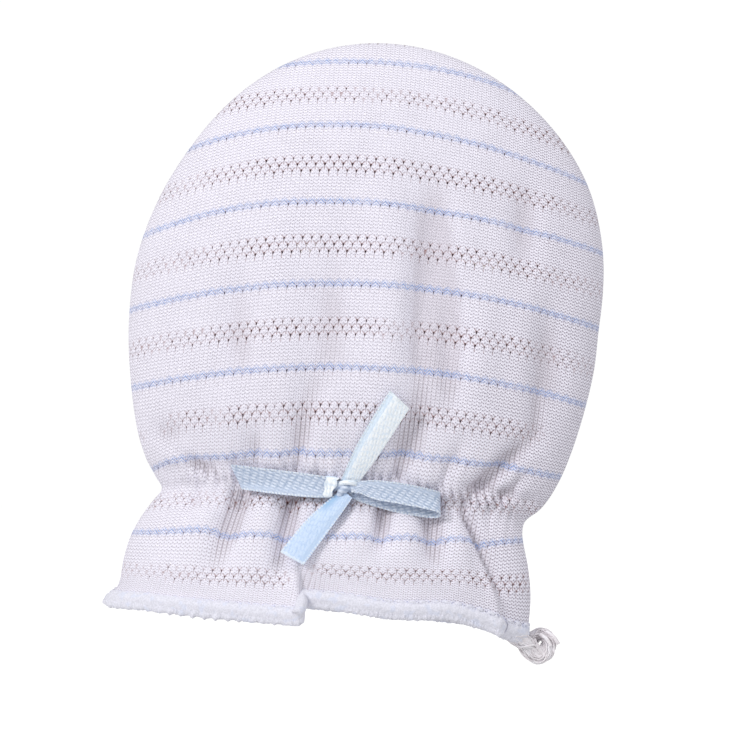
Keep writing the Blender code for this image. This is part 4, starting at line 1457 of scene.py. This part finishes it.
bow = {
    "bow_loop_left": ribbon_strip("ribbon_loop_left", LEFT_LOOP, 180.0, 72, satin_reverse),
    "bow_loop_right": ribbon_strip("ribbon_loop_right", RIGHT_LOOP, 0.0, 72, satin_reverse),
    "bow_tail_upper": ribbon_strip("ribbon_tail_upper", UPPER_TAIL, 63.5, 40, satin_sheen_painted, 0.35),
    "bow_tail_lower": ribbon_strip("ribbon_tail_lower", LOWER_TAIL, 233.5, 40, satin_face),
}
print("bow strips:", ", ".join(sorted(bow)))

# %% [markdown]
# The knot is the ribbon's own wrap. It runs over the crossing from side to side, and its satin
# is crushed, so it is made of bent tubes: a roll on top, made bright with painted sheen, two
# slanted rolls below it, and a flat pad behind them that closes the gap to the left loop. A
# short band of that loop is pulled up over its end, and painted sheen makes it bright where it
# catches the light.

# %% Knot
KNOT_ROLLS = (          # middle, half length, tilt in degrees, radius, height above the cloth
    # The first roll has painted sheen
    ((0.95, 4.0), 1.75, 3.0, 0.44, 2.45),          # the bright roll
    ((-0.2, 3.2), 1.7, 0.0, 0.95, 1.15),           # the pad
    ((1.7, 3.1), 0.95, -35.0, 0.45, 1.9),
    ((0.5, 2.75), 1.35, 42.0, 0.62, 2.0),
)
ROLL_END = math.radians(105.0)
ROLL_STEPS, ROLL_SIDES = 25, 14
BAND = ((-2.0, 3.35), -4.0, 1.8, 1.85, 2.15)       # middle, tilt, half length, height, width
BAND_END = math.radians(100.0)
BAND_STEPS, BAND_WIDE = 22, 11


def leaning(middle, tilt, along, up):
    """Places across and up of points counted along and up a leaning part."""
    lean = math.radians(tilt)
    x = middle[0] + along * math.cos(lean) - up * math.sin(lean)
    return x, middle[1] + along * math.sin(lean) + up * math.cos(lean)


def arched(turn, flatness):
    """Height of an arch at its turns: 1 at the top and below 0 past its feet."""
    return np.abs(np.cos(turn)) ** flatness * np.sign(np.cos(turn))


def knot_roll(middle, half, tilt, radius, height):
    """One roll of the wrap, bent down to the cloth at both ends."""
    turn = np.linspace(-ROLL_END, ROLL_END, ROLL_STEPS)
    x, z = leaning(middle, tilt, half * np.sin(turn), 0.75 * np.cos(turn) - 0.3)
    base = float(cover_depth(np.array(middle[0]), np.array(middle[1])))
    y = -(base + 0.4 + (height - 0.4) * arched(turn, 0.7))
    angle = 2.0 * math.pi * np.arange(ROLL_SIDES)[None, :] / ROLL_SIDES
    turn = turn[:, None]
    dent = 1.0 + 0.12 * np.cos(2.0 * angle + 1.5 * turn) * np.cos(turn)
    dent = dent + 0.07 * np.cos(5.0 * angle - 2.0 * turn) - 0.38 * np.abs(np.sin(turn)) ** 3
    return tube(np.stack([x, y, z], axis=1), radius * dent, ROLL_SIDES)


def raised_band(middle, tilt, half, height, width):
    """Points and faces of a short band that stands up over the loop."""
    turn = np.linspace(BAND_END, -BAND_END, BAND_STEPS)[:, None]
    side = np.linspace(-1.0, 1.0, BAND_WIDE)[None, :]
    crease = 0.13 * np.cos(2.5 * math.pi * side + 3.0 * np.sin(turn)) * np.cos(turn) ** 2
    along = 0.5 * width * side * (0.80 + 0.22 * np.sin(turn)) + 0.14 * np.sin(5.0 * turn) * side
    along = along - 0.20 * (1.0 - np.sin(turn))
    x, z = leaning(middle, tilt, along, half * np.sin(turn) * (1.0 - 0.10 * side ** 2))
    y = -(cover_depth(x, z) + 0.5 + (height + crease) * arched(turn, 0.35))
    return np.stack([x, y, z], axis=2).reshape(-1, 3), grid_faces(BAND_STEPS, BAND_WIDE)


def knot_part(name, made, finish):
    """A part of the knot, mapped by its place, with the weave along its rolls."""
    points, faces = made
    piece = link_mesh(name, points, faces, finish)
    lay_map(piece, RIBBON_MAP, 0.7 * (points[:, 2] - 3.4), 0.6 * points[:, 0] + 5.0)
    return piece


rolls = [knot_roll(*roll) for roll in KNOT_ROLLS]
knot = knot_part("ribbon_knot", join_parts(rolls[1:]), satin_reverse)
roll_sheen_painted = knot_part("roll_sheen_painted", rolls[0], satin_sheen_painted)
band = knot_part("raised_band", raised_band(*BAND), satin_sheen_painted)
add_wall(band, RIBBON_THICKNESS, 0.0)
only(knot)
roll_sheen_painted.select_set(True)
band.select_set(True)
bpy.ops.object.join()
bow["bow_knot"] = knot
print("knot:", len(knot.data.polygons), "faces")

# %% [markdown]
# ## Fit it to the frame
# Every piece rides on the one body and stands for the solid it replaces, which is hidden. The
# size that each panel was cut to is worked out from the lengths along its cloth and printed.

# %% Pieces on the body, and the panels' cut
CUT_WIDTH = 0.0945        # flat width of a panel's cut, in metres
STANDS_FOR = {
    "front_panel": (front_panel, "knit_cotton"),
    "back_panel": (back_panel, "knit_cotton"),
    "hem_edge_front": (hems[FRONT], "overlock_thread"),
    "hem_edge_back": (hems[BACK], "overlock_thread"),
    "seam_tail": (curl, "overlock_thread"),
    **{node: (piece, "satin_ribbon") for node, piece in bow.items()},
}
for node, (piece, slot_name) in STANDS_FOR.items():
    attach(piece, "root")
    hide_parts(node)


def cut_area(side):
    """Flat area of a panel's cut in square metres, from the lengths along its cloth."""
    v = np.arange(HEM_EDGE, LEVELS[side]["cloth"][-1], COURSE)
    length = courses(side, v)[3]
    return float(np.sum(length[:, -1] - length[:, 0]) * COURSE) * MM * MM


for side, panel, others in ((FRONT, front_panel, [hems[FRONT], curl, *bow.values()]),
                            (BACK, back_panel, [hems[BACK]])):
    tall = float(LEVELS[side]["cloth"][-1]) - HEM_EDGE
    cut_area(side)
    print(panel.name, "cut", CUT_WIDTH, "x", round(tall * MM, 4), "m, area",
          round(cut_area(side), 5), "m2")
